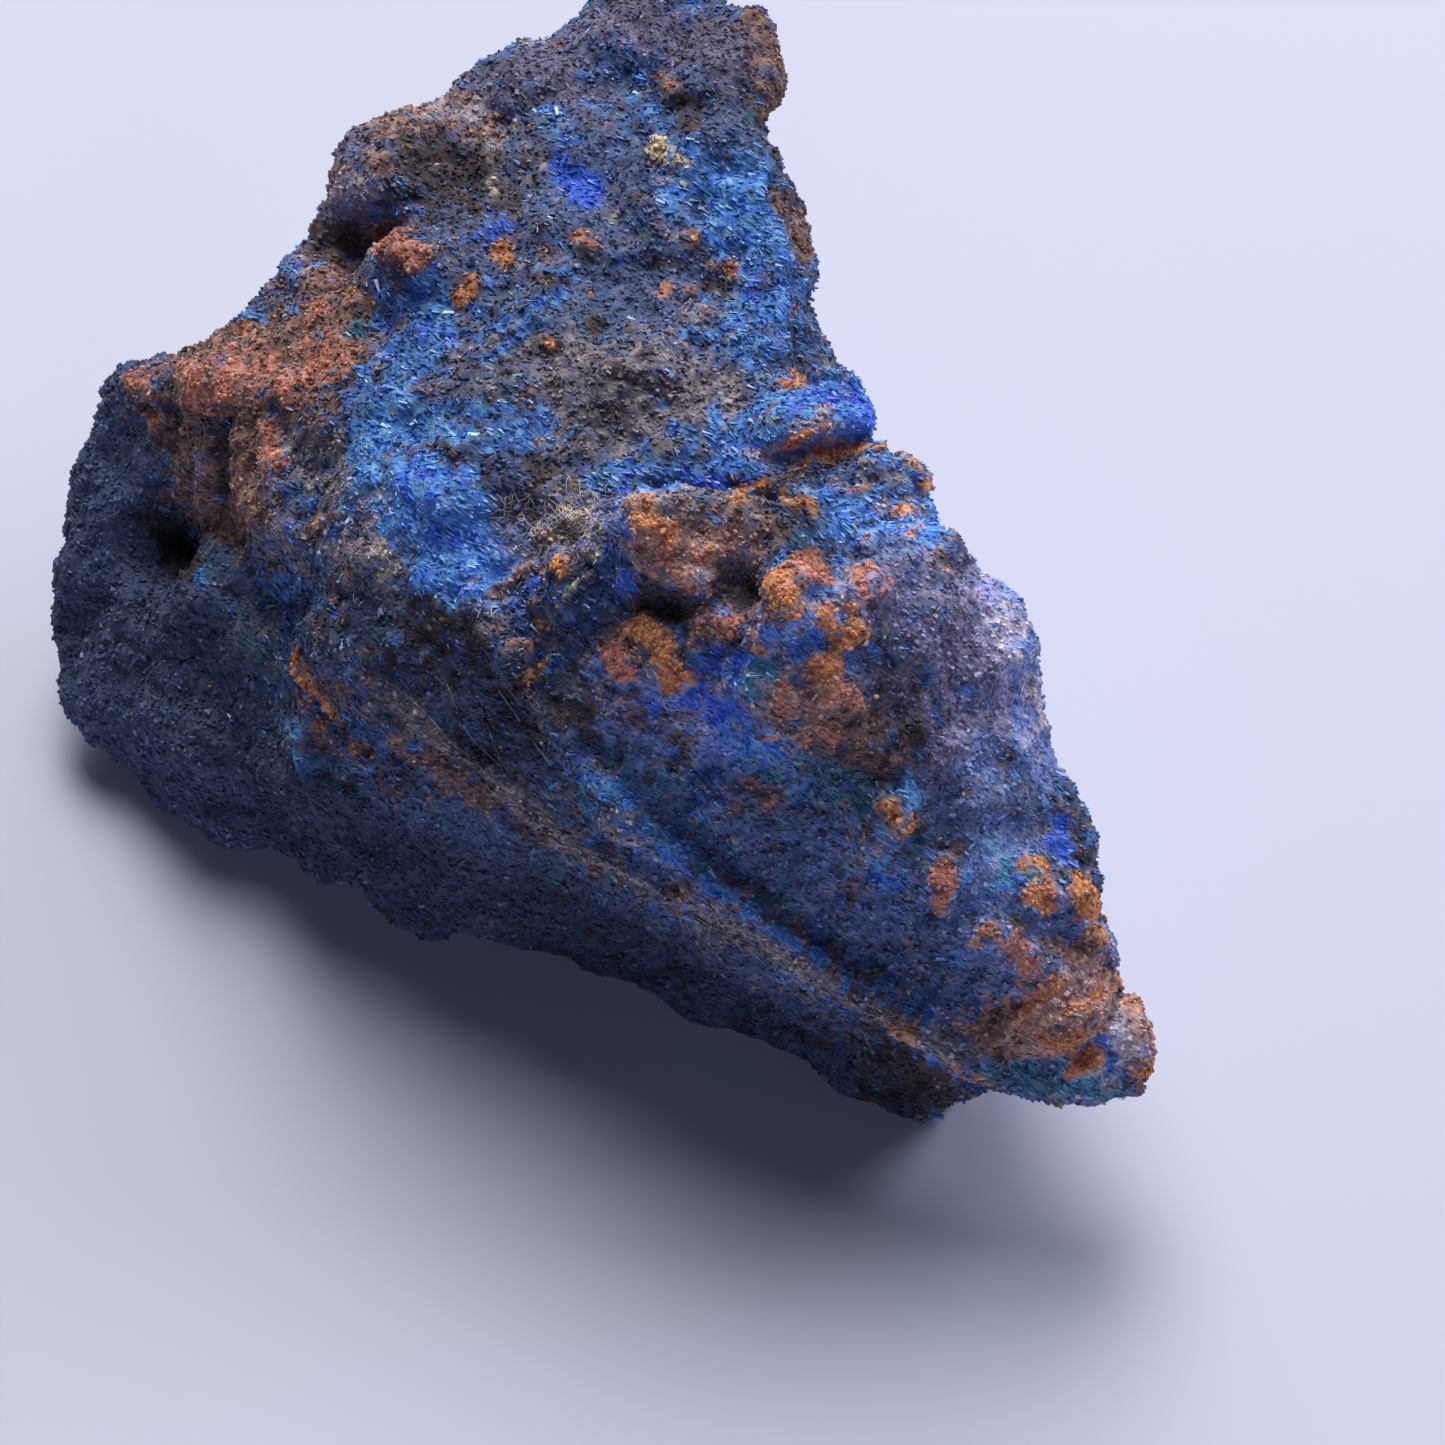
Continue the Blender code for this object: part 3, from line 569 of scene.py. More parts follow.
# %% Bare rock
PATCHES["rock"] = {
    "mound_top": ([(380, 112), (420, 104), (470, 100)], 22, 0.3),
    "mound_ring": ([(480, 140), (540, 158)], 12, 0.5),
    "grey_field": ([(590, 400), (650, 380), (720, 400)], 38, 0.45),
    "grey_field_left": ([(540, 360), (600, 350)], 22, 0.35),
    "grey_low": ([(600, 440), (660, 436)], 18, 0.35),
    "ring_knob": ([(322, 448), (340, 444), (346, 468), (334, 488), (318, 478)], 7, 0.9),
    "lobe_rib": ([(196, 504), (220, 530), (240, 545)], 12, 0.4),
    "crest_top": ([(670, 508), (710, 506), (750, 512)], 14, 0.5),
    "ridge_crest": ([(400, 700), (450, 748), (500, 786), (566, 838), (620, 870)], 11, 0.8),
    "ridge_crest_low": ([(620, 868), (680, 905), (760, 945), (860, 1000), (950, 1050)], 9, 0.6),
    "flank_lump": ([(706, 935), (740, 975)], 30, 0.35),
    "tangle_ground": ([(506, 554), (540, 538), (590, 524)], 17, 0.36),
    "shelf_grey": ([(740, 440), (800, 428)], 30, 0.3),
    "band_above_rim": ([(500, 545), (540, 520), (590, 505)], 22, 0.45),
    "right_rim": ([(1010, 620), (1030, 680), (1034, 740)], 18, 0.75),
    "wedge_grey": ([(880, 470), (920, 500)], 22, 0.3),
    "band_left": ([(470, 580), (500, 556)], 12, 0.5),
    "left_tan_field": ([(350, 550), (384, 560), (392, 590)], 18, 0.6),
    "lobe_band": ([(300, 440), (330, 500)], 14, 0.3),
    "tip_facet": ([(1116, 1020), (1134, 1060), (1116, 1086)], 18, 0.25),
    "upper_field": ([(470, 360), (560, 390)], 26, 0.25),
    "mound_rim": ([(380, 104), (430, 96)], 14, 0.2),
    "low_spot": ([(740, 860), (760, 880)], 20, 0.3),
}
print(len(PATCHES["rock"]), "patches of rock")

# %% Rock with a brown stain
PATCHES["russet"] = {
    "mound_left": ([(330, 180), (350, 160)], 20, 0.5),
    "mound_face": ([(390, 116), (450, 108), (490, 126)], 26, 0.62),
    "mound_spot": ([(372, 156), (384, 168)], 12, 0.6),
    "lobe_top": ([(190, 370), (240, 360), (300, 350), (350, 330)], 34, 0.75),
    "lobe_columns": ([(186, 420), (200, 480), (220, 520)], 26, 0.75),
    "lobe_left": ([(128, 396), (150, 440), (172, 490)], 18, 0.6),
    "lobe_columns_2": ([(250, 410), (250, 470), (236, 520)], 24, 0.9),
    "lobe_right": ([(290, 404), (316, 392), (334, 370)], 22, 0.75),
    "saddle": ([(320, 290), (350, 276)], 20, 0.5),
    "peak_right": ([(750, 30), (768, 66), (764, 110)], 16, 0.75),
    "right_edge": ([(784, 200), (794, 224), (800, 258)], 11, 0.8),
    "block_top": ([(650, 540), (700, 530), (760, 530)], 30, 0.75),
    "block_top_low": ([(680, 600), (740, 610), (790, 600)], 26, 0.55),
    "block_holes_rim": ([(700, 560), (760, 560)], 26, 0.5),
    "block_low": ([(790, 700), (830, 726), (870, 745)], 32, 0.75),
    "block_low_edge": ([(880, 760), (920, 770)], 18, 0.35),
    "block_left": ([(620, 640), (640, 690)], 20, 0.4),
    "ring_rim": ([(500, 600), (512, 640)], 8, 0.35),
    "rim_ledge": ([(484, 603), (502, 591), (520, 577), (544, 566), (586, 556)], 4, 0.8),
    "low_brown": ([(740, 795), (768, 798)], 16, 0.5),
    "low_brown_2": ([(700, 890), (730, 900)], 16, 0.3),
    "tip_field": ([(1000, 1030), (1040, 1010), (1090, 1000)], 32, 0.85),
    "tip_upper": ([(1000, 930), (1040, 940), (1080, 950)], 26, 0.55),
    "tip_edge": ([(1120, 980), (1146, 1030), (1146, 1090)], 15, 0.8),
    "tip_band": ([(1010, 1050), (1060, 1060)], 14, 0.4),
    "flank_stroke_1": ([(330, 680), (380, 730), (440, 780)], 9, 0.5),
    "flank_stroke_2": ([(350, 760), (400, 800)], 10, 0.45),
    "flank_stroke_3": ([(320, 730), (340, 760)], 14, 0.35),
    "flank_low": ([(262, 780), (290, 800)], 18, 0.5),
    "ridge_under": ([(440, 772), (520, 830), (600, 880)], 9, 0.4),
    "ridge_crest": ([(430, 748), (480, 784), (540, 826), (610, 868)], 10, 0.62),
    "ridge_side": ([(330, 690), (400, 748), (470, 800)], 8, 0.55),
}
print(len(PATCHES["russet"]), "patches of russet")

# %% Rock with a blue film
PATCHES["slate"] = {
    "lobe_side": ([(85, 480), (75, 600), (110, 700), (200, 780)], 66, 0.9),
    "lobe_front": ([(104, 450), (124, 560), (190, 640), (250, 700)], 42, 0.75),
    "lobe_corner": ([(112, 380), (108, 420)], 20, 0.7),
    "flank_low": ([(230, 760), (330, 830), (460, 900)], 50, 0.7),
    "flank_deep": ([(480, 880), (640, 970), (800, 1060)], 50, 0.8),
    "flank_mid": ([(400, 820), (520, 890)], 40, 0.4),
    "right_dark": ([(900, 560), (930, 620)], 22, 0.5),
    "right_rim": ([(1010, 600), (1026, 660), (1036, 760)], 20, 0.7),
    "right_field": ([(960, 780), (1000, 830)], 40, 0.5),
    "block_foot": ([(640, 720), (700, 800), (800, 850)], 50, 0.4),
    "upper_field": ([(560, 130), (640, 220), (600, 280)], 70, 0.25),
    "upper_right": ([(700, 110), (760, 150)], 30, 0.3),
    "top_hollow": ([(715, 82), (735, 95)], 18, 0.4),
    "near_tip": ([(980, 860), (1000, 910), (1060, 930)], 26, 0.5),
    "lobe_gap": ([(200, 440), (196, 490)], 8, 0.4),
    "lobe_ribs": ([(212, 540), (240, 590)], 18, 0.4),
    "middle": ([(480, 450), (560, 470)], 20, 0.3),
    "low_field": ([(880, 900), (960, 960)], 40, 0.4),
    "valley_foot": ([(390, 620), (440, 690), (500, 760)], 40, 0.5),
    "ring_knob": ([(330, 464), (332, 470)], 10, 0.7),
    "tangle_blue": ([(512, 528), (544, 512), (612, 500)], 17, 0.7),
    "edge_under": ([(660, 800), (760, 860), (900, 950)], 30, 0.3),
}
print(len(PATCHES["slate"]), "patches of slate")

# %% Purple-grey rock
PATCHES["plum"] = {
    "peak": ([(600, 30), (680, 20), (740, 60)], 30, 0.6),
    "top_left": ([(500, 90), (560, 60), (600, 100)], 28, 0.6),
    "right_field": ([(900, 590), (950, 620), (980, 700)], 44, 0.7),
    "right_plum": ([(890, 690), (920, 730), (950, 780)], 36, 0.6),
    "right_low": ([(960, 740), (990, 790)], 30, 0.5),
    "crest": ([(760, 520), (780, 540)], 18, 0.4),
    "mound": ([(350, 130), (340, 200)], 26, 0.5),
    "lobe_top_left": ([(180, 358), (120, 384)], 20, 0.6),
    "columns": ([(236, 540), (246, 530)], 16, 0.4),
    "right_edge_top": ([(960, 560), (990, 590)], 20, 0.4),
}
print(len(PATCHES["plum"]), "patches of plum")

# %% Dark rock, and painted shade in the hollows and under the flank
PATCHES["umber"] = {
    # In the hollows and pits this dark rock is partly painted shade.
    "mound_hollow": ([(430, 160), (466, 172)], 34, 0.85),
    "mound_foot": ([(430, 200), (500, 200)], 20, 0.5),
    "saddle_hollow": ([(322, 246), (346, 238)], 18, 0.8),
    "upper_pits": ([(686, 108), (696, 122)], 14, 0.6),
    "upper_pit_2": ([(576, 256), (582, 262)], 9, 0.6),
    "upper_pit_3": ([(594, 325), (602, 328)], 9, 0.6),
    "upper_pit_4": ([(703, 284), (716, 286)], 11, 0.8),
    "upper_pit_5": ([(654, 266), (664, 262)], 9, 0.4),
    "lobe_dark_knob": ([(165, 390), (178, 412), (186, 430)], 11, 0.6),
    "column_gap": ([(215, 420), (226, 490)], 8, 0.6),
    "lobe_pit": ([(146, 520), (170, 546), (178, 560)], 22, 0.8),
    "crest_pit": ([(732, 582), (742, 588)], 20, 1.2),
    "crest_pit_2": ([(648, 598), (672, 606)], 20, 1.1),
    "crest_pit_3": ([(756, 532), (770, 540)], 14, 0.5),
    "crest_pit_4": ([(744, 560), (752, 566)], 8, 0.5),
    "hollow": ([(534, 466), (548, 470)], 11, 0.9),
    "hollow_2": ([(432, 448), (446, 456)], 10, 0.6),
    "block_dark": ([(906, 700), (926, 726)], 24, 0.4),
    "block_left_dark": ([(640, 720), (680, 730)], 22, 0.6),
    "block_low_dark": ([(730, 800), (800, 830)], 24, 0.4),
    "near_tip_dark": ([(1018, 926), (1030, 932)], 12, 0.8),
    "tip_dark": ([(1020, 1010), (1030, 1020)], 14, 0.6),
    "valley_foot": ([(430, 620), (470, 690), (520, 760)], 34, 0.5),
    # painted shade at the block's left side
    "block_left": ([(560, 680), (600, 720), (660, 760)], 30, 0.35),
    "valley_top": ([(500, 566), (512, 560)], 6, 0.3),
    # painted shade under the flank
    "flank_under_painted_shade": ([(560, 940), (700, 1010), (900, 1080)], 46, 0.5),
    "tip_hole": ([(956, 845), (960, 850)], 10, 0.7),
    "low_dark": ([(840, 870), (880, 900)], 20, 0.4),
}
print(len(PATCHES["umber"]), "patches of umber")

# %% Start values
START = {"rock": 0.32, "russet": 0.20, "umber": 0.30, "slate": 0.40, "plum": 0.24,
         "navy": 0.28, "royal": 0.08, "azure": 0.29, "sky": 0.02, "teal": 0.15,
         "rust": -0.06, "salmon": -0.06, "cream": -0.26}
print(sum(len(group) for group in PATCHES.values()), "patches of", len(PATCHES), "minerals")


# %% Scores of the minerals
def stroke_distance(path):
    """Distance of every point from a stroke, in view steps."""
    best = np.full(len(across), 1e9)
    for (x0, y0), (x1, y1) in zip(path[:-1], path[1:]):
        along_x, along_y = x1 - x0, y1 - y0
        length = along_x ** 2 + along_y ** 2
        share = ((across - x0) * along_x + (down - y0) * along_y) / max(length, 1e-9)
        share = np.clip(share, 0.0, 1.0)
        aside = np.hypot(across - x0 - share * along_x, down - y0 - share * along_y)
        best = np.minimum(best, aside)
    return best


def stroke_share(path, half_width, core, end, torn=0.0):
    """1 on a stroke, and down to 0 between core and end times its half width."""
    return 1.0 - smoothstep(core, end, stroke_distance(path) / half_width + torn)


def cloud(points, size, shift=0.0):
    """Smooth noise of about -1 to 1 with patches of that size, in mm."""
    off = Vector((shift, shift * 1.7, -shift * 0.6))
    return np.array([noise.noise(Vector(p) / size + off) for p in points])


RAGGED_SIZE, RAGGED_SHARE = 0.42, 0.50
TORN_SIZE, TORN_SHARE = 0.20, 0.55
PATCH_CORE, PATCH_END = 0.6, 1.45
PATCH_CLOUD, PATCH_CLOUD_SHARE = 1.3, 0.34
FINE_CLOUD, FINE_CLOUD_SHARE = 0.34, 0.60
BROAD_CLOUD, BROAD_SHARE = 3.4, 0.55

ragged = cloud(base_points, RAGGED_SIZE, 3.1) * RAGGED_SHARE
ragged += cloud(base_points, TORN_SIZE, 8.3) * TORN_SHARE
patch_amount, scores = {}, {}
for number, mineral in enumerate(MINERALS):
    total = np.zeros(len(base_points))
    for path, half_width, strength in PATCHES[mineral].values():
        share = stroke_share(path, half_width, PATCH_CORE, PATCH_END, ragged)
        total = np.maximum(total, strength * share)
    patch_amount[mineral] = total * seen
    clouds = cloud(base_points, PATCH_CLOUD, 10.0 * number) * PATCH_CLOUD_SHARE
    clouds += cloud(base_points, FINE_CLOUD, 10.0 * number + 5.0) * FINE_CLOUD_SHARE
    clouds += cloud(base_points, BROAD_CLOUD, 10.0 * number + 7.0) * BROAD_SHARE * (1.0 - seen)
    scores[mineral] = START[mineral] + patch_amount[mineral] + clouds
scores = np.stack([scores[mineral] for mineral in MINERALS], axis=1)
print({m: round(float((scores.argmax(1) == i).mean()), 2) for i, m in enumerate(MINERALS)})

# %% [markdown]
# ## Relief of the skin
#
# Weathered rock is lumpy at every size. Here three sizes of noise are pushed out along the
# normals, as the Displace modifier does, but with the share of each ruled by the minerals:
# limonite and clay stand up as knobs, dark rock sinks into pits, and bedded or ridged
# places stay calmer and get fine parallel ribs instead.

# %% Folds and beds
FOLDS = {
    "ridge_edge": ([(470, 600), (498, 655), (520, 682), (560, 738), (600, 784), (640, 821),
                    (700, 868), (750, 909), (810, 955), (870, 1000), (960, 1049), (1056, 1092)],
                   10, 0.20),
    "groove_over_ridge": ([(590, 745), (640, 796), (700, 845), (780, 905), (870, 970)],
                          15, -0.18),
    "crest_line": ([(400, 690), (450, 738), (500, 776), (566, 828), (620, 862), (690, 900)],
                   8, 0.20),
    "crest_line_low": ([(410, 716), (470, 770), (540, 826)], 5, 0.10),
    "valley_lift": ([(426, 590), (466, 586)], 30, 0.22),
    "rim_edge": ([(474, 597), (511, 578), (528, 566), (554, 555), (584, 550), (606, 530)],
                 6, 0.12),
    "crest_edge": ([(612, 528), (636, 508), (680, 500), (740, 502), (790, 494)], 10, 0.16),
    "valley_line": ([(455, 600), (500, 570), (560, 545), (620, 512)], 12, -0.12),
    "slab_edge": ([(808, 375), (845, 371), (868, 388), (888, 418)], 6, 0.12),
    "bed_groove_1": ([(790, 456), (840, 446), (886, 434)], 4, -0.04),
    "bed_fill": ([(760, 482), (830, 474), (884, 464)], 12, 0.20),
    "slab_lip": ([(770, 458), (830, 448), (872, 438)], 10, -0.20),
    "bed_1": ([(796, 465), (840, 457), (888, 444)], 5, 0.10),
    "bed_groove_2": ([(770, 474), (830, 468), (895, 456)], 4, -0.05),
    "bed_2": ([(776, 481), (822, 477), (900, 466)], 4, 0.08),
    "slab_arc": ([(789, 450), (800, 437), (824, 426), (850, 420)], 4, 0.10),
    "flank_rim": ([(284, 690), (288, 722), (302, 753), (309, 790)], 9, 0.16),
    "lobe_rib": ([(186, 500), (212, 536), (236, 580)], 12, 0.18),
    "column_1": ([(190, 400), (186, 440), (178, 490)], 9, 0.14),
    "column_2": ([(222, 400), (206, 460), (206, 510)], 9, 0.18),
    "column_3": ([(250, 410), (246, 460), (238, 510)], 9, 0.18),
    "column_4": ([(272, 420), (274, 460), (270, 480)], 10, 0.18),
    "column_gap": ([(226, 420), (226, 480), (222, 510)], 6, -0.16),
    "lobe_pit": ([(140, 516), (172, 552)], 32, -0.20),
    "crest_pit": ([(734, 582), (742, 588)], 18, -0.26),
    "crest_pit_2": ([(648, 600), (672, 608)], 17, -0.24),
    "mound_hollow": ([(430, 162), (466, 172)], 28, -0.16),
    "saddle_hollow": ([(326, 242), (342, 238)], 16, -0.05),
    "right_edge_in": ([(822, 300), (846, 356)], 22, -0.30),
    "peak_right_out": ([(768, 6), (776, 60), (770, 96)], 22, 0.22),
    "rim_in": ([(1098, 776), (1112, 812)], 20, -0.26),
    "rim_in_2": ([(1030, 580), (1052, 640), (1056, 710)], 16, -0.20),
    "rim_in_3": ([(1092, 860), (1106, 930)], 16, -0.14),
    "lobe_in": ([(84, 420), (70, 480), (52, 550)], 24, -0.06),
    "lobe_corner": ([(116, 346), (132, 350)], 24, -0.36),
    "saddle_in": ([(236, 296), (262, 268)], 20, -0.26),
    "peak_in": ([(572, 8), (600, 0)], 20, -0.22),
    "edge_ledge": ([(800, 962), (860, 998), (940, 1046), (1034, 1090)], 6, 0.14),
    "tip_crease": ([(1080, 1062), (1092, 1040), (1110, 1016)], 7, -0.14),
    "tangle_fill": ([(552, 537), (590, 528)], 18, 0.20),
    "hollow_fill": ([(366, 226), (380, 214)], 16, 0.15),
    "tip_notch": ([(1096, 935), (1106, 962), (1120, 978)], 14, 0.24),
    "tip_corner": ([(1140, 1092), (1148, 1100)], 12, 0.14),
}
FOLD_END = 1.5
fold_height = np.zeros(len(base_points))
for path, half_width, rise in FOLDS.values():
    fold_height += rise * stroke_share(path, half_width, 0.0, FOLD_END) * seen
print(len(FOLDS), "folds and beds")

# %% Push the relief out
LUMP_SIZE, LUMP_HEIGHT = 0.95, 0.10
NODULE_SIZE, NODULE_HEIGHT = 0.50, 0.17
BUMP_SIZE, BUMP_HEIGHT = 0.28, 0.10
NODULE_MIDDLE = 0.45                  # the cell distance that lies level with the rock
KNOB_HEIGHT, PIT_DEPTH, PIT_START = 0.13, 0.04, 0.3
CALM_CORE, CALM_END, CALM_ROUGHNESS = 0.3, 2.0, 0.35
GROUND_BAND = 0.5                     # the relief fades out below this height, in mm

rough = cloud(base_points, LUMP_SIZE, 21.0) * LUMP_HEIGHT
cells = np.array([noise.voronoi(Vector(p) / NODULE_SIZE)[0][0] for p in base_points])
rough += (NODULE_MIDDLE - cells) * NODULE_HEIGHT
rough += cloud(base_points, BUMP_SIZE, 33.0) * BUMP_HEIGHT
knobs = np.maximum.reduce([patch_amount["rust"], patch_amount["salmon"], patch_amount["cream"]])
height = rough + np.clip(knobs, 0, 1) * KNOB_HEIGHT
height -= np.clip(patch_amount["umber"] - PIT_START, 0, 1) * PIT_DEPTH

calm_paths = [PATCHES["rock"]["ridge_crest"], PATCHES["rock"]["ridge_crest_low"],
              PATCHES["rust"]["bedding_1"], PATCHES["azure"]["shelf"]]
calm = np.ones(len(base_points))
for path, half_width, _ in calm_paths:
    aside = stroke_distance(path) / half_width
    calm = np.minimum(calm, smoothstep(CALM_CORE, CALM_END, aside))
height *= CALM_ROUGHNESS + (1.0 - CALM_ROUGHNESS) * np.maximum(calm, 1.0 - seen)
height += fold_height

ground_share = smoothstep(0.0, GROUND_BAND, base_points[:, 2])
skin_points = base_points + base_normals * (height * ground_share)[:, None]
low, high = np.array(CAD_BOX[0]) / MM, np.array(CAD_BOX[1]) / MM
skin_points = np.clip(skin_points, low, high)
put_points(skin.data, skin_points)
print("relief from", round(float(height.min()), 2), "to", round(float(height.max()), 2), "mm")

# %% [markdown]
# ## Tones of the minerals
#
# Each mineral has a handful of tones, because each of its grains turns another face to the
# light and holds other traces. A grain takes one of them. The skin between the grains takes
# a mix by score, and darker, because dust and shade lie there.

# %% Tones
TONES = {
    "rock": ["#867E88", "#968C92", "#6A6472", "#A89E9E", "#76728A"],
    "russet": ["#806462", "#8E6E64", "#66504E", "#9C7A6C", "#725A5E"],
    "umber": ["#4A4046", "#3C3A46", "#584844", "#48485C", "#5E4E4A"],
    "slate": ["#56648A", "#48567A", "#626E94", "#4E5C84", "#6A7090"],
    "plum": ["#6C6680", "#5C566E", "#7A7490", "#625E7A", "#565064"],
    "navy": ["#344A7C", "#2C3E64", "#3C5896", "#32486C", "#44629E"],
    "royal": ["#4268D6", "#3A5CC2", "#4E78E2", "#3450AC", "#5A84E6"],
    "azure": ["#4A7ED6", "#5A96D2", "#3C66BE", "#6AA4E0", "#5C8AB4"],
    "sky": ["#5A98EC", "#7AB6EA", "#4886E2", "#8CC6EE", "#5A92DC"],
    "teal": ["#467088", "#508298", "#385C78", "#587A92", "#3E5874"],
    "rust": ["#C27E50", "#CC8A5A", "#80503E", "#D49E72", "#9E6248"],
    "salmon": ["#BE7E6A", "#985E50", "#CC927C", "#7C504A", "#AA7060"],
    "cream": ["#D8C8A0", "#C4B08C", "#EAE0C0", "#E0D0AE", "#B4A084"],
}
PALETTE = np.array([[linear(code)[:3] for code in TONES[m]] for m in MINERALS])
SKIN_SHADE = 0.80
SKIN_SHARPNESS = 14.0
SKIN_TONE_SIZE, GRAIN_TONE_SIZE, TONE_SWING = 0.21, 0.24, 0.9
KNOB_EDGE, KNOB_HIGHLIGHT = 0.78, 1.15     # a knob is painted paler on top, a painted highlight, and darker round its edge
print("palette of", PALETTE.shape[0], "minerals with", PALETTE.shape[1], "tones each")

# %% Powder, stain and painted light
# A gain above 1 makes a place paler and one below 1 deeper. A few are powder and stain, as on
# the red knob of the block, but most are painted light and shade: faces that the lights reach
# little, such as the valley, the block's front, the front of the slab and the saddle hollow,
# are painted paler, and the shaded flank and lobe side are painted darker.
DUST_AND_PAINTED_LIGHT = {
    "valley": ([(420, 496), (446, 545), (462, 566)], 50, 2.0),
    "valley_foot": ([(400, 620), (440, 680), (500, 750)], 44, 0.85),
    "tangle": ([(520, 550), (560, 532), (600, 518)], 32, 2.35),
    "left_tan_field": ([(356, 550), (390, 585)], 30, 1.4),
    "shelf": ([(726, 440), (790, 425), (860, 400)], 40, 1.4),
    "bedding": ([(740, 458), (800, 450), (870, 440)], 16, 2.3),
    "slab_front": ([(780, 446), (830, 440), (872, 430)], 14, 1.5),
    "block_red_knob": ([(798, 556), (824, 568)], 26, 0.45),
    "tip_right_knob": ([(1080, 890), (1092, 930)], 22, 1.3),
    "tip_facet": ([(1084, 1064), (1122, 1050)], 34, 1.5),
    "wedge": ([(860, 480), (930, 520)], 40, 1.35),
    "crest": ([(660, 512), (740, 512), (800, 520)], 24, 0.60),
    "right_field": ([(900, 570), (960, 640), (980, 720)], 60, 1.9),
    "right_rim": ([(1000, 580), (1030, 660), (1044, 760)], 34, 2.45),
    "right_low": ([(960, 790), (1010, 840)], 50, 1.9),
    "block_top": ([(660, 540), (740, 560), (800, 600)], 60, 2.7),
    "block_front": ([(640, 690), (720, 710), (800, 690)], 60, 2.6),
    "block_low": ([(660, 770), (760, 820), (860, 870)], 70, 1.95),
    "ridge_streak": ([(570, 750), (610, 800), (670, 860)], 30, 1.2),
    "ridge": ([(420, 720), (560, 830), (760, 950), (960, 1060)], 34, 1.5),
    "tip": ([(1000, 900), (1050, 960), (1090, 1040)], 70, 2.4),
    "near_tip": ([(860, 900), (940, 980), (1000, 1040)], 60, 1.4),
    "lobe_side": ([(80, 560), (100, 640), (190, 740)], 70, 0.9),
    "lobe_front": ([(180, 620), (240, 720)], 60, 0.8),
    "lobe_top": ([(180, 372), (250, 366), (330, 350)], 50, 1.45),
    "columns": ([(190, 440), (240, 470), (270, 450)], 34, 1.3),
    "lobe_foot": ([(220, 480), (280, 540), (340, 520)], 50, 1.4),
    "mound": ([(340, 150), (400, 124), (470, 120)], 40, 1.7),
    "saddle": ([(318, 244), (346, 226), (362, 214)], 34, 2.4),
    "flank": ([(300, 700), (400, 780), (480, 830)], 40, 1.5),
    "peak": ([(560, 40), (680, 50), (760, 60)], 50, 1.2),
    "upper": ([(560, 80), (640, 200), (700, 280)], 90, 1.25),
    "flank_low": ([(300, 800), (440, 880), (600, 960)], 60, 0.68),
    "flank_deep": ([(560, 930), (700, 990), (860, 1060), (960, 1100)], 62, 0.86),
}
DUST_AND_LIGHT_CORE, DUST_AND_LIGHT_END, DUST_AND_LIGHT_TORN = 0.3, 1.4, 0.5
# Each stroke scales the tone: painted light and shade in most places, powder and stain in a few.
dust_and_painted_light = np.ones(len(base_points))
for path, half_width, gain in DUST_AND_PAINTED_LIGHT.values():
    share = stroke_share(path, half_width, DUST_AND_LIGHT_CORE, DUST_AND_LIGHT_END, DUST_AND_LIGHT_TORN * ragged)
    dust_and_painted_light *= 1.0 + (gain - 1.0) * share * seen
print(len(DUST_AND_PAINTED_LIGHT), "paler or deeper places")


# %% Colour of the skin
def nth_tone(share):
    """Which of a mineral's tones goes with a share from 0 to 1."""
    count = PALETTE.shape[1]
    return np.clip(share * count, 0, count - 0.001).astype(int)


weights = np.exp(SKIN_SHARPNESS * (scores - scores.max(1, keepdims=True)))
weights /= weights.sum(1, keepdims=True)
tone_pick = nth_tone(cloud(skin_points, SKIN_TONE_SIZE, 71.0) * TONE_SWING + 0.5)
skin_tone = np.einsum("nm,nmc->nc", weights, PALETTE[:, tone_pick].transpose(1, 0, 2))


def held(tones, most=0.9):
    """Tones brought down to what powder can reflect, without a change of hue."""
    return tones * np.minimum(1.0, most / np.maximum(tones.max(axis=1, keepdims=True), 1e-9))


def paint_points(mesh, tones):
    layer = mesh.color_attributes.new("tone", "FLOAT_COLOR", "POINT")
    layer.data.foreach_set("color", np.c_[tones, np.ones(len(tones))].ravel())


# A knob's top is painted paler as a painted highlight, and its edge is painted darker.
knob_core = smoothstep(0.25, 1.0, knobs)
on_knob = smoothstep(0.05, 0.35, knobs)
dust_and_painted_light *= 1.0 + on_knob * (KNOB_EDGE - 1.0) + knob_core * (KNOB_HIGHLIGHT - KNOB_EDGE)
skin_tone = held(skin_tone * dust_and_painted_light[:, None])
paint_points(skin.data, skin_tone * SKIN_SHADE)
print("mean tone of the skin:", skin_tone.mean(0).round(3))


# %% Materials
WEAR = 0.08                           # how far the roughness goes up and down
BUMP_DEPTH = 0.03


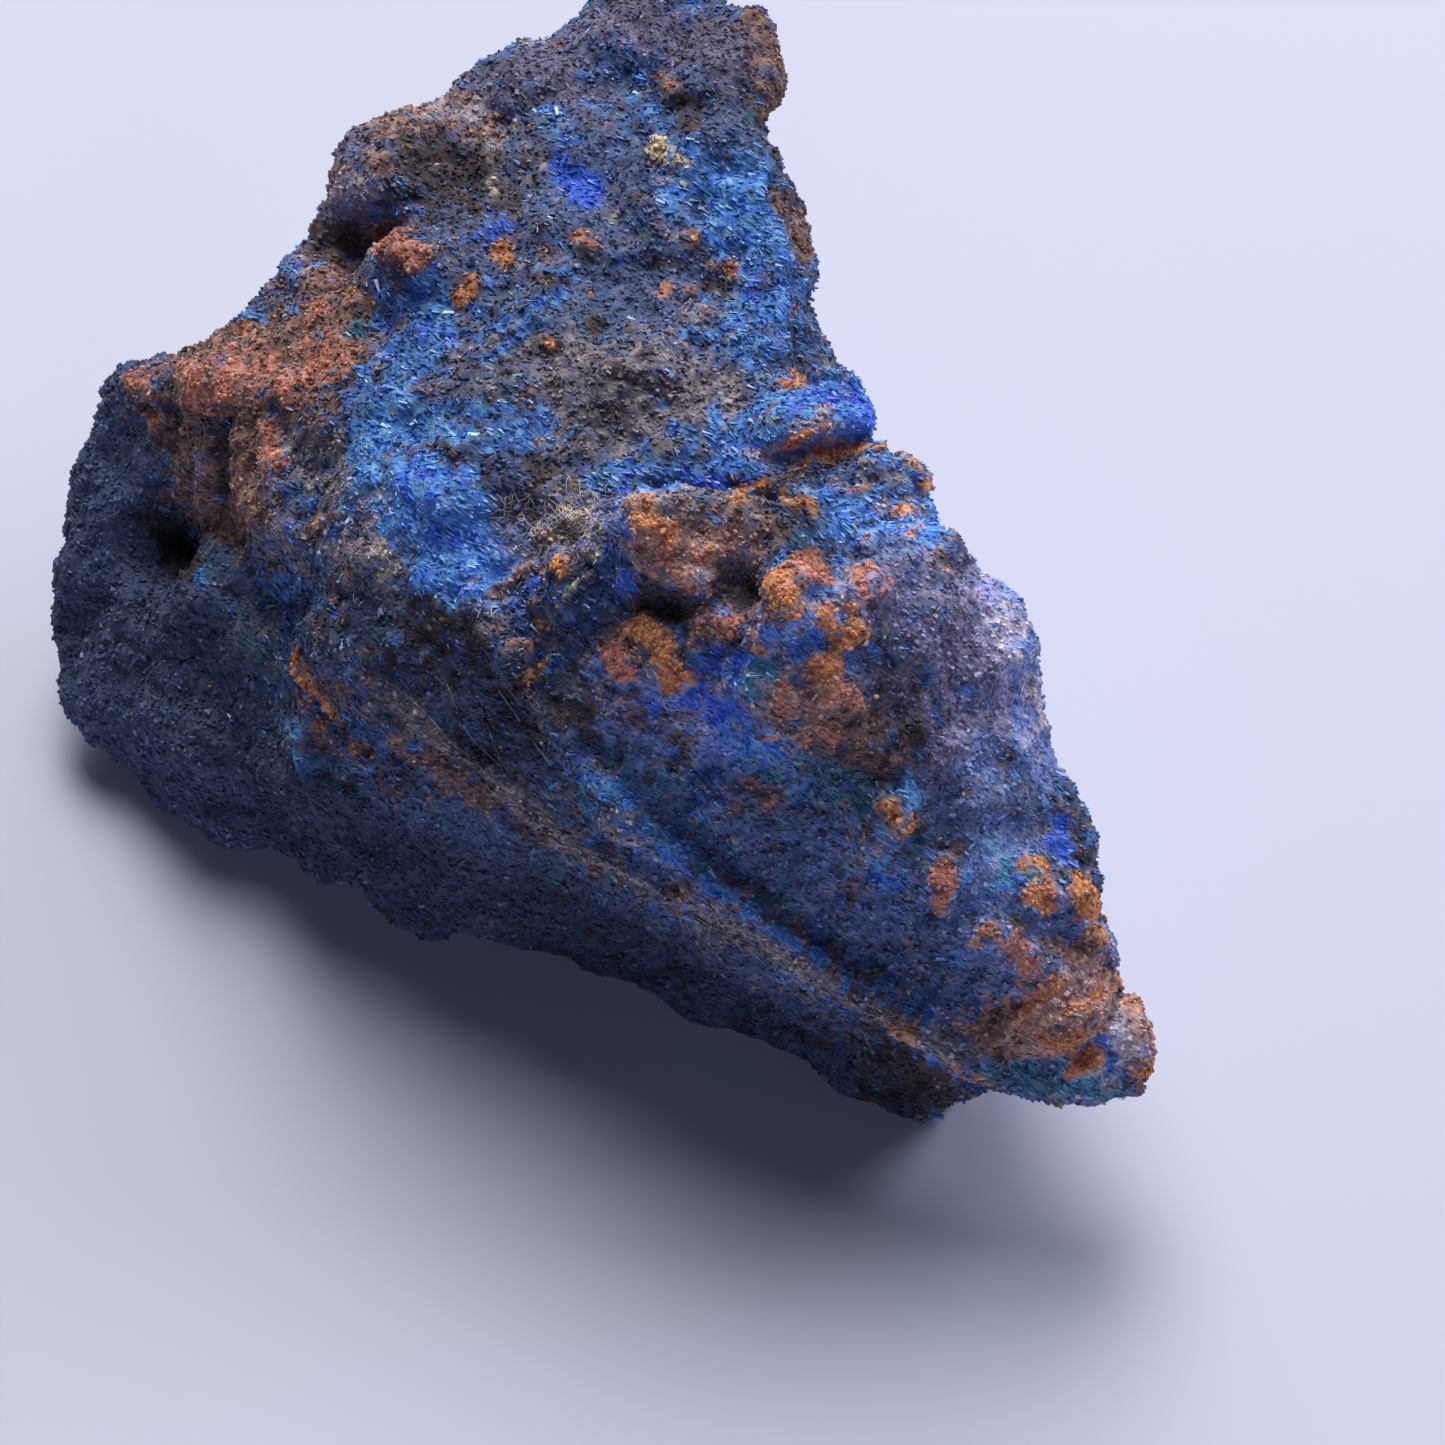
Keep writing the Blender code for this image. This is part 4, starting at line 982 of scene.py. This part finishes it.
def mineral_material(name, roughness, ior, specular, stroke, depth, bump=0.0):
    """Dusty or glassy mineral grains: the tone of each grain, broken up by finer strokes.
    A stroke is a fibre or a crystal edge, so it has a length and a width, both in mm."""
    material, tree = new_material(name)
    place = add_node(tree, "ShaderNodeTexCoord").outputs["Object"]
    along = add_node(tree, "ShaderNodeMapping", {"vector_type": "TEXTURE"},
                     links={"Vector": place}, Rotation=STROKE_TURN,
                     Scale=(stroke[0] * MM, stroke[1] * MM, stroke[1] * MM)).outputs[0]
    tone = add_node(tree, "ShaderNodeAttribute", {"attribute_name": "tone"}).outputs["Color"]
    speck = add_node(tree, "ShaderNodeTexNoise", links={"Vector": along}, Scale=1.0,
                     Detail=1.0, Roughness=0.6).outputs["Fac"]
    shade = add_node(tree, "ShaderNodeMapRange", links={"Value": speck},
                     From_Min=0.3, From_Max=0.7, To_Min=1.0 - depth,
                     To_Max=1.0 + depth).outputs[0]
    colour = add_node(tree, "ShaderNodeVectorMath", {"operation": "SCALE"},
                      links={"Vector": tone, "Scale": shade}).outputs[0]
    worn = add_node(tree, "ShaderNodeMapRange", links={"Value": speck}, From_Min=0.3,
                    From_Max=0.7, To_Min=roughness + WEAR,
                    To_Max=roughness - WEAR).outputs[0]
    shader = add_node(tree, "ShaderNodeBsdfPrincipled", IOR=ior,
                      links={"Base Color": colour, "Roughness": worn})
    shader.inputs["Specular IOR Level"].default_value = specular
    if bump:
        relief = add_node(tree, "ShaderNodeBump", links={"Height": speck}, Strength=bump,
                          Distance=BUMP_DEPTH * MM)
        tree.links.new(relief.outputs[0], shader.inputs["Normal"])
    add_node(tree, "ShaderNodeOutputMaterial", links={"Surface": shader.outputs[0]})
    return material


BLADE_FLOW = unit(VIEW_RIGHT * 0.80 - VIEW_UP * 0.50)
STROKE_TURN = Vector(BLADE_FLOW).to_track_quat("X", "Z").to_euler()

weathered_rock = mineral_material("iron_stained_rock", 0.85, 1.54, 0.25, (0.16, 0.05), 0.5, 0.7)
glassy_azurite = mineral_material("azurite_crystal", 0.40, 1.75, 0.45, (0.12, 0.05), 0.28)
earthy_limonite = mineral_material("earthy_limonite", 0.88, 1.6, 0.2, (0.08, 0.06), 0.3)
rock_crumb = mineral_material("rock_crumb", 0.75, 1.54, 0.3, (0.12, 0.05), 0.35)
dry_clay = mineral_material("dry_clay", 0.9, 1.55, 0.2, (0.08, 0.06), 0.2)

skin.data.materials.clear()
skin.data.materials.append(weathered_rock)
select_only(skin)
bpy.ops.object.shade_smooth()
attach(skin, "root")
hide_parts("azurite_stone")

# %% [markdown]
# ## Crystals and crumbs
#
# A crust like this has some fifty grains to each square millimetre. Particles would set
# them, but a mesh that can be exported is needed. So a few kinds of grain are modelled,
# each with a dozen faces, and copied in arrays to places drawn by lot on the skin.
# Azurite grows as short blades with a chisel end. Limonite is a rounded crumb, and broken
# rock is an angular chip.


# %% Model one grain of each kind
def as_grain(thing):
    """Points and triangles of the active object as arrays, and removes the object."""
    select_only(thing)
    bpy.ops.object.mode_set(mode="EDIT")
    bpy.ops.mesh.select_all(action="SELECT")
    bpy.ops.mesh.quads_convert_to_tris()
    bpy.ops.mesh.normals_make_consistent(inside=False)
    bpy.ops.object.mode_set(mode="OBJECT")
    points = np.array([v.co for v in thing.data.vertices])
    faces = np.array([tuple(p.vertices) for p in thing.data.polygons])
    bpy.data.objects.remove(thing)
    return points, faces


def azurite_blade(chisel):
    """A unit cube drawn out to a blade whose top narrows to a chisel edge."""
    bpy.ops.mesh.primitive_cube_add(size=1.0, location=(0.0, 0.0, 0.0))
    blade = bpy.context.object
    bpy.ops.object.mode_set(mode="EDIT")
    bpy.ops.mesh.select_all(action="DESELECT")
    bpy.ops.object.mode_set(mode="OBJECT")
    for face in blade.data.polygons:
        face.select = face.normal.z > 0.9
    bpy.ops.object.mode_set(mode="EDIT")
    bpy.ops.transform.resize(value=(chisel, 0.75, 1.0))
    bpy.ops.object.mode_set(mode="OBJECT")
    return as_grain(blade)


def rock_chip(seed):
    """A cube knocked out of square."""
    bpy.ops.mesh.primitive_cube_add(size=1.0, location=(0.0, 0.0, 0.0))
    chip = bpy.context.object
    bpy.ops.object.mode_set(mode="EDIT")
    bpy.ops.mesh.select_all(action="SELECT")
    bpy.ops.transform.vertex_random(offset=0.28, seed=seed)
    bpy.ops.object.mode_set(mode="OBJECT")
    return as_grain(chip)


def limonite_crumb(seed):
    """A small ball with dents."""
    bpy.ops.mesh.primitive_ico_sphere_add(subdivisions=1, radius=0.56, location=(0.0, 0.0, 0.0))
    crumb = bpy.context.object
    bpy.ops.object.mode_set(mode="EDIT")
    bpy.ops.mesh.select_all(action="SELECT")
    bpy.ops.transform.vertex_random(offset=0.16, seed=seed)
    bpy.ops.object.mode_set(mode="OBJECT")
    return as_grain(crumb)


BLADES = [azurite_blade(0.15), azurite_blade(0.5), azurite_blade(0.05)]
CHIPS = [rock_chip(seed) for seed in (1, 2, 3, 4)]
CRUMBS = [limonite_crumb(seed) for seed in (1, 2, 3)]
print("faces in a blade, a chip and a crumb:", [len(k[0][1]) for k in (BLADES, CHIPS, CRUMBS)])

# %% Places for the grains, drawn by lot
LOT_SEED = 20
LOT_SPREAD = 0.10
GRAIN_PLACES = 65000
FLOOR_GAP = 0.12
SEEN_FACTOR = 2.0
DOWNWARD_FACTOR = 0.35

lot = np.random.default_rng(LOT_SEED)
skin.data.calc_loop_triangles()
corners = np.empty(len(skin.data.loop_triangles) * 3, dtype=np.int32)
skin.data.loop_triangles.foreach_get("vertices", corners)
corners = corners.reshape(-1, 3)
a, b, c = (skin_points[corners[:, k]] for k in range(3))
face_normals = np.cross(b - a, c - a)
areas = np.linalg.norm(face_normals, axis=1) / 2
face_normals /= np.maximum(2 * areas, 1e-12)[:, None]
face_seen = seen[corners].mean(1)
chance = areas * np.where(face_seen > 0.5, SEEN_FACTOR, 1.0)
chance *= np.where(face_normals[:, 2] < -0.3, DOWNWARD_FACTOR, 1.0)
chance[(a[:, 2] < FLOOR_GAP) | (b[:, 2] < FLOOR_GAP)] = 0.0
print("skin area", round(float(areas.sum())), "square mm,", len(corners), "triangles")

picked = lot.choice(len(corners), GRAIN_PLACES, p=chance / chance.sum())
u, v = lot.random((2, GRAIN_PLACES))
fold = u + v > 1
u[fold], v[fold] = 1 - u[fold], 1 - v[fold]
grain_places = a[picked] + u[:, None] * (b - a)[picked] + v[:, None] * (c - a)[picked]
grain_normals = face_normals[picked]
grain_scores = scores[corners[picked]].mean(1)
grain_dust_and_light = dust_and_painted_light[corners[picked]].mean(1)
luck = -np.log(-np.log(lot.random(grain_scores.shape)))
grain_mineral = (grain_scores + LOT_SPREAD * luck).argmax(1)
print({m: int((grain_mineral == i).sum()) for i, m in enumerate(MINERALS)})


# %% Copy the grains to their places
NOT_UPRIGHT = [0.31, 0.92, 0.24]       # any direction that no grain stands along


def turned(axis, spin):
    """Frames whose third axis is axis, turned about it by spin."""
    side = unit(np.cross(axis, NOT_UPRIGHT))
    other = np.cross(axis, side)
    first = side * np.cos(spin)[:, None] + other * np.sin(spin)[:, None]
    return np.stack([first, np.cross(axis, first), axis], axis=2)


def grain_mesh(name, kinds, places, axes, sizes, tones, material):
    """One joined mesh of copies of the kinds of grain. sizes are the three sides in mm."""
    spin = lot.random(len(places)) * 2 * math.pi
    frames = turned(axes, spin)
    kind = lot.integers(len(kinds), size=len(places))
    all_points, all_faces, all_tones, start = [], [], [], 0
    for number, (points, faces) in enumerate(kinds):
        mine = kind == number
        shaped = points[None] * sizes[mine][:, None, :]
        moved = np.einsum("nij,nkj->nki", frames[mine], shaped) + places[mine][:, None, :]
        count = len(moved)
        offsets = start + np.arange(count) * len(points)
        all_points.append(moved.reshape(-1, 3))
        all_faces.append((faces[None] + offsets[:, None, None]).reshape(-1, 3))
        all_tones.append(np.repeat(tones[mine], len(points), axis=0))
        start += count * len(points)
    points, faces = np.concatenate(all_points), np.concatenate(all_faces)
    mesh = bpy.data.meshes.new(name)
    mesh.from_pydata((points * MM).tolist(), [], faces.tolist())
    paint_points(mesh, np.concatenate(all_tones))
    row = math.ceil(math.sqrt(len(places)))      # each grain gets a small square of its own
    cell = np.repeat(np.arange(len(places)), [len(kinds[k][1]) for k in np.sort(kind)])
    corner = np.array([[0.25, 0.25], [0.75, 0.25], [0.5, 0.75]])
    spots = (np.stack([cell % row, cell // row], axis=1)[:, None, :] + corner[None]) / row
    mesh.uv_layers.new(name="OFBake").data.foreach_set("uv", spots.ravel())
    mesh.materials.append(material)
    thing = bpy.data.objects.new(name, mesh)
    bpy.context.scene.collection.objects.link(thing)
    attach(thing, "root")
    print(name, len(places), "grains,", len(faces), "triangles")


# A few grains are painted much paler: painted glints off their crystal faces.
PAINTED_GLINT_SHARE, PAINTED_GLINT_GAIN, PAINTED_GLINT_LIFT = 0.035, 1.5, 0.10
TONE_STRAY = 0.16


def tones_for(chosen, spread):
    """One tone for each grain. Neighbours tend to the same tone, as they grew together."""
    minerals = grain_mineral[chosen]
    pick = cloud(grain_places[chosen], GRAIN_TONE_SIZE, 55.0) * TONE_SWING + 0.5
    pick += lot.normal(0.0, TONE_STRAY, len(minerals))
    tone = PALETTE[minerals, nth_tone(pick)]
    # The grains take the same powder, stain and painted light and shade as the skin under them.
    tone = tone * grain_dust_and_light[chosen][:, None]
    # painted glints: a few grains made much paler
    painted_glint = lot.random(len(minerals)) < PAINTED_GLINT_SHARE
    tone[painted_glint] = tone[painted_glint] * PAINTED_GLINT_GAIN + PAINTED_GLINT_LIFT
    return held(tone * np.exp(lot.normal(0.0, spread, (len(minerals), 1))))


def among(*names):
    return np.isin(grain_mineral, [MINERALS.index(name) for name in names])


# %% How grains lie
SIZE_SPREAD, SIDE_SPREAD = 0.25, 0.15


def flow_axes(normals, flow, stand, stray):
    """Axes that lie along a flow on the skin, stand up by some share and stray by chance."""
    along = flow - (normals @ flow)[:, None] * normals
    return unit(along + stand * normals + lot.normal(0.0, stray, normals.shape))


def side_lengths(count, length, width, thickness):
    scale = np.exp(lot.normal(0.0, SIZE_SPREAD, (count, 1)))
    each = np.exp(lot.normal(0.0, SIDE_SPREAD, (count, 3)))
    return np.array([thickness, width, length]) * scale * each


def set_grains(name, chosen, kinds, sides, stand, stray, spread, material):
    """Grains at the chosen places. sides are length, width and thickness in mm, stand and
    stray say how they lie, and spread how much their tones differ."""
    axes = flow_axes(grain_normals[chosen], BLADE_FLOW, stand, stray)
    sizes = side_lengths(len(chosen), *sides)
    tones = tones_for(chosen, spread)
    grain_mesh(name, kinds, grain_places[chosen], axes, sizes, tones, material)


# %% Azurite crystals
BLADE_SIDES = (0.15, 0.05, 0.04)
MOST_BLADES = 16400

blue = np.flatnonzero(among("navy", "royal", "azure", "sky", "teal"))
for part in (0, 1):
    set_grains(f"azurite_blades_{part + 1}", blue[part::2][:MOST_BLADES], BLADES,
               BLADE_SIDES, 0.38, 0.30, 0.12, glassy_azurite)

# %% Limonite crumbs, rock chips and clay
CRUMB_SIZE, CHIP_SIZE, CLAY_SIZE = 0.075, 0.062, 0.07
MOST_CRUMBS, MOST_CHIPS, MOST_CLAY = 9500, 16400, 6000
CHIP_SIDES = (CHIP_SIZE * 1.3, CHIP_SIZE, CHIP_SIZE * 0.7)
CLAY_SIDES = (CLAY_SIZE * 1.3, CLAY_SIZE, CLAY_SIZE * 0.7)

ochre = np.flatnonzero(among("rust", "salmon"))[:MOST_CRUMBS]
set_grains("limonite_crumbs", ochre, CRUMBS, (CRUMB_SIZE,) * 3, 1.0, 0.8, 0.12,
           earthy_limonite)
brown = np.flatnonzero(among("rock", "umber", "slate", "plum", "russet"))
for part in (0, 1):
    set_grains(f"rock_chips_{part + 1}", brown[part::2][:MOST_CHIPS], CHIPS,
               CHIP_SIDES, 0.5, 0.5, 0.14, rock_crumb)
pale = np.flatnonzero(among("cream"))[:MOST_CLAY]
set_grains("clay_grains", pale, CHIPS, CLAY_SIDES, 0.8, 0.6, 0.12, dry_clay)

# %% [markdown]
# ## Lint
#
# Rough crystals catch fibres from the cloth or paper that a specimen is wrapped in. A wisp
# of lint is a few dozen curled fibres. A hair system would draw them, but a mesh is needed,
# so each is a curve that wanders over the skin, given a round section and made a mesh. The
# crest of the ridge is made of fibrous crystals, which lie along it like combed hair. They
# are made in the same way, in a piece and in tones of their own.

# %% Places on the skin by their place in the view
tree_of_relief = BVHTree.FromPolygons([Vector(point) for point in skin_points],
                                      [tuple(c) for c in corners])


def on_skin(across_step, down_step):
    """The point of the skin that the view sees at that place, and its normal, in mm."""
    aside = (across_step - MIDDLE) * VIEW_RIGHT - (down_step - MIDDLE) * VIEW_UP
    aim = VIEW_POINT + aside * STEP
    point, normal, _, _ = tree_of_relief.ray_cast(Vector(EYE), Vector(aim - EYE).normalized())
    return np.array(point), np.array(normal)


def lifted(point, height):
    """The point, moved to stand that far above the skin."""
    found, normal, _, _ = tree_of_relief.find_nearest(Vector(point))
    return np.array(found + normal * height)


# %% Where fibres lie
# A wisp is a place in the view, its spread across and down in steps, the number of fibres,
# their curl radius in mm, and from how many to how many knots each has. A combed row is the
# places it runs through, its spread aside in mm, the number of fibres and their length in mm.
# A thread is the places that one long loose fibre runs through.
WISPS = {
    "tangle": (574, 520, 24, 11, 110, 0.13, (10, 26)),
    "tangle_left": (530, 512, 24, 7, 18, 0.18, (8, 18)),
    "tangle_right": (618, 506, 14, 6, 9, 0.14, (8, 18)),
    "tangle_floor": (552, 540, 34, 9, 90, 1.00, (3, 6)),
    "left_fuzz": (374, 562, 18, 16, 60, 0.60, (3, 8)),
    "left_fuzz_2": (340, 580, 14, 16, 16, 0.60, (3, 7)),
    "ring_fuzz": (500, 620, 12, 20, 16, 0.50, (3, 8)),
}
COMBED = {
    "crest": ([(392, 690), (430, 730), (472, 766), (520, 802), (566, 838), (620, 872)],
              0.24, 170, 0.6),
    "crest_low": ([(620, 872), (680, 908), (760, 950), (860, 1004), (950, 1052), (1040, 1098)],
                  0.14, 130, 0.6),
    "valley_side": ([(410, 640), (450, 690), (500, 750), (560, 806)], 0.40, 120, 0.22),
    "valley_side_2": ([(450, 600), (500, 680), (560, 750)], 0.30, 60, 0.2),
    "flank_rim": ([(286, 690), (290, 724), (303, 756)], 0.14, 16, 0.4),
    "bedding": ([(780, 478), (822, 466), (884, 448)], 0.14, 40, 0.4),
}
THREADS = {
    "ridge_thread": [(448, 684), (457, 706), (467, 731), (486, 752), (507, 772), (542, 798)],
    "ridge_thread_2": [(500, 690), (516, 712), (530, 735), (552, 765)],
    "flank_thread": [(404, 694), (430, 716), (452, 744), (470, 756)],
    "loop_1": [(566, 494), (565, 484), (568, 478), (572, 481), (573, 496)],
    "loop_2": [(572, 488), (576, 479), (581, 484), (580, 502)],
    "curl_1": [(505, 504), (514, 499), (524, 500), (530, 494)],
    "ledge_thread": [(590, 536), (606, 528), (622, 514), (634, 505)],
}

print(len(WISPS), "wisps,", len(COMBED), "combed rows and", len(THREADS), "threads")

# %% Paths of the fibres
WANDER_SEED = 11
KNOT_STEP, KNOT_STRAY = 0.045, 0.12
LINT_RISE, LINT_CLEARANCE = 0.06, 0.012
WAVE_START, WAVE_STEP = 0.35, 0.25
COMBED_KNOTS, COMBED_STRAY, COMBED_RISE = 7, 0.012, 0.02
THREAD_LIFT = 0.04

wander = np.random.default_rng(WANDER_SEED)
wisps, crest_fibres = [], []
for across_step, down_step, wide, tall, count, curl, knots in WISPS.values():
    for _ in range(count):
        here, normal = on_skin(across_step + wander.normal(0, wide),
                               down_step + wander.normal(0, tall))
        side = unit(np.cross(normal, wander.normal(size=3)))
        bend, rise = wander.normal(0, 1.0) / curl, wander.uniform(0.0, LINT_RISE)
        path = []
        for k in range(int(wander.integers(*knots))):
            turn = np.cross(normal, side) * KNOT_STEP * bend
            side = unit(side + turn + wander.normal(0, KNOT_STRAY, 3))
            here = here + side * KNOT_STEP
            wave = math.sin(WAVE_START + WAVE_STEP * k) ** 2
            path.append(lifted(here, rise * wave + LINT_CLEARANCE))
        wisps.append(path)
for path, aside, count, length in COMBED.values():
    line = np.array([on_skin(*place)[0] for place in path])
    along = np.r_[0.0, np.cumsum(np.linalg.norm(np.diff(line, axis=0), axis=1))]
    for _ in range(count):
        begin = wander.uniform(-0.2 * length, along[-1] - 0.4 * length)
        end = begin + wander.uniform(0.4, 1.0) * length
        places = np.linspace(begin, end, COMBED_KNOTS)
        thread = np.stack([np.interp(places, along, line[:, k]) for k in range(3)], axis=1)
        thread += unit(wander.normal(size=3)) * abs(wander.normal(0, aside))
        thread += wander.normal(0, COMBED_STRAY, thread.shape)
        crest_fibres.append([lifted(place, wander.uniform(0.0, COMBED_RISE))
                             for place in thread])
for path in THREADS.values():
    places = [on_skin(*place)[0] for place in path]
    wisps.append([lifted(place, THREAD_LIFT) for place in places])
print(len(wisps), "fibres of lint and", len(crest_fibres), "fibres on the ridge")


# %% Round section and mesh
FADE_SIZE = 0.3                       # a fibre changes its tone about every 0.3 mm
MIX_TONES = (6, 7)                    # the colour sockets of a mix node


def fibre_piece(name, paths, width, dark, pale):
    """Curves through the paths, as thick as width in mm, made one mesh of two mixed tones."""
    curve = bpy.data.curves.new(name, "CURVE")
    curve.dimensions = "3D"
    curve.bevel_depth = width / 2 * MM
    curve.bevel_resolution = 0
    curve.use_fill_caps = True
    curve.resolution_u = 2
    for path in paths:
        spline = curve.splines.new("NURBS")
        spline.points.add(len(path) - 1)
        for place, knot in zip(path, spline.points):
            knot.co = (*(np.array(place) * MM), 1.0)
        spline.order_u = 3
        spline.use_endpoint_u = True
    holder = bpy.data.objects.new(name, curve)
    bpy.context.scene.collection.objects.link(holder)
    select_only(holder)
    bpy.ops.object.convert(target="MESH")
    piece = bpy.context.object
    material, tree = new_material(name)
    place = add_node(tree, "ShaderNodeTexCoord").outputs["Object"]
    fade = add_node(tree, "ShaderNodeTexNoise", links={"Vector": place},
                    Scale=1.0 / (FADE_SIZE * MM), Detail=1.0).outputs["Fac"]
    spread = add_node(tree, "ShaderNodeMapRange", links={"Value": fade}, From_Min=0.35,
                      From_Max=0.65).outputs[0]
    shades = add_node(tree, "ShaderNodeMix", {"data_type": "RGBA"}, links={"Factor": spread})
    for socket, code in zip(MIX_TONES, (dark, pale)):
        shades.inputs[socket].default_value = linear(code)
    shader = add_node(tree, "ShaderNodeBsdfPrincipled", Roughness=0.8,
                      links={"Base Color": shades.outputs[2]})
    shader.inputs["Specular IOR Level"].default_value = 0.3
    add_node(tree, "ShaderNodeOutputMaterial", links={"Surface": shader.outputs[0]})
    piece.data.materials.clear()
    piece.data.materials.append(material)
    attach(piece, "root")
    piece.data.calc_loop_triangles()
    print(name, len(paths), "fibres,", len(piece.data.loop_triangles), "triangles")


fibre_piece("cotton_lint", wisps, 0.024, "#7C6C66", "#F0DECC")
fibre_piece("ridge_fibres", crest_fibres, 0.030, "#3E4458", "#A89488")
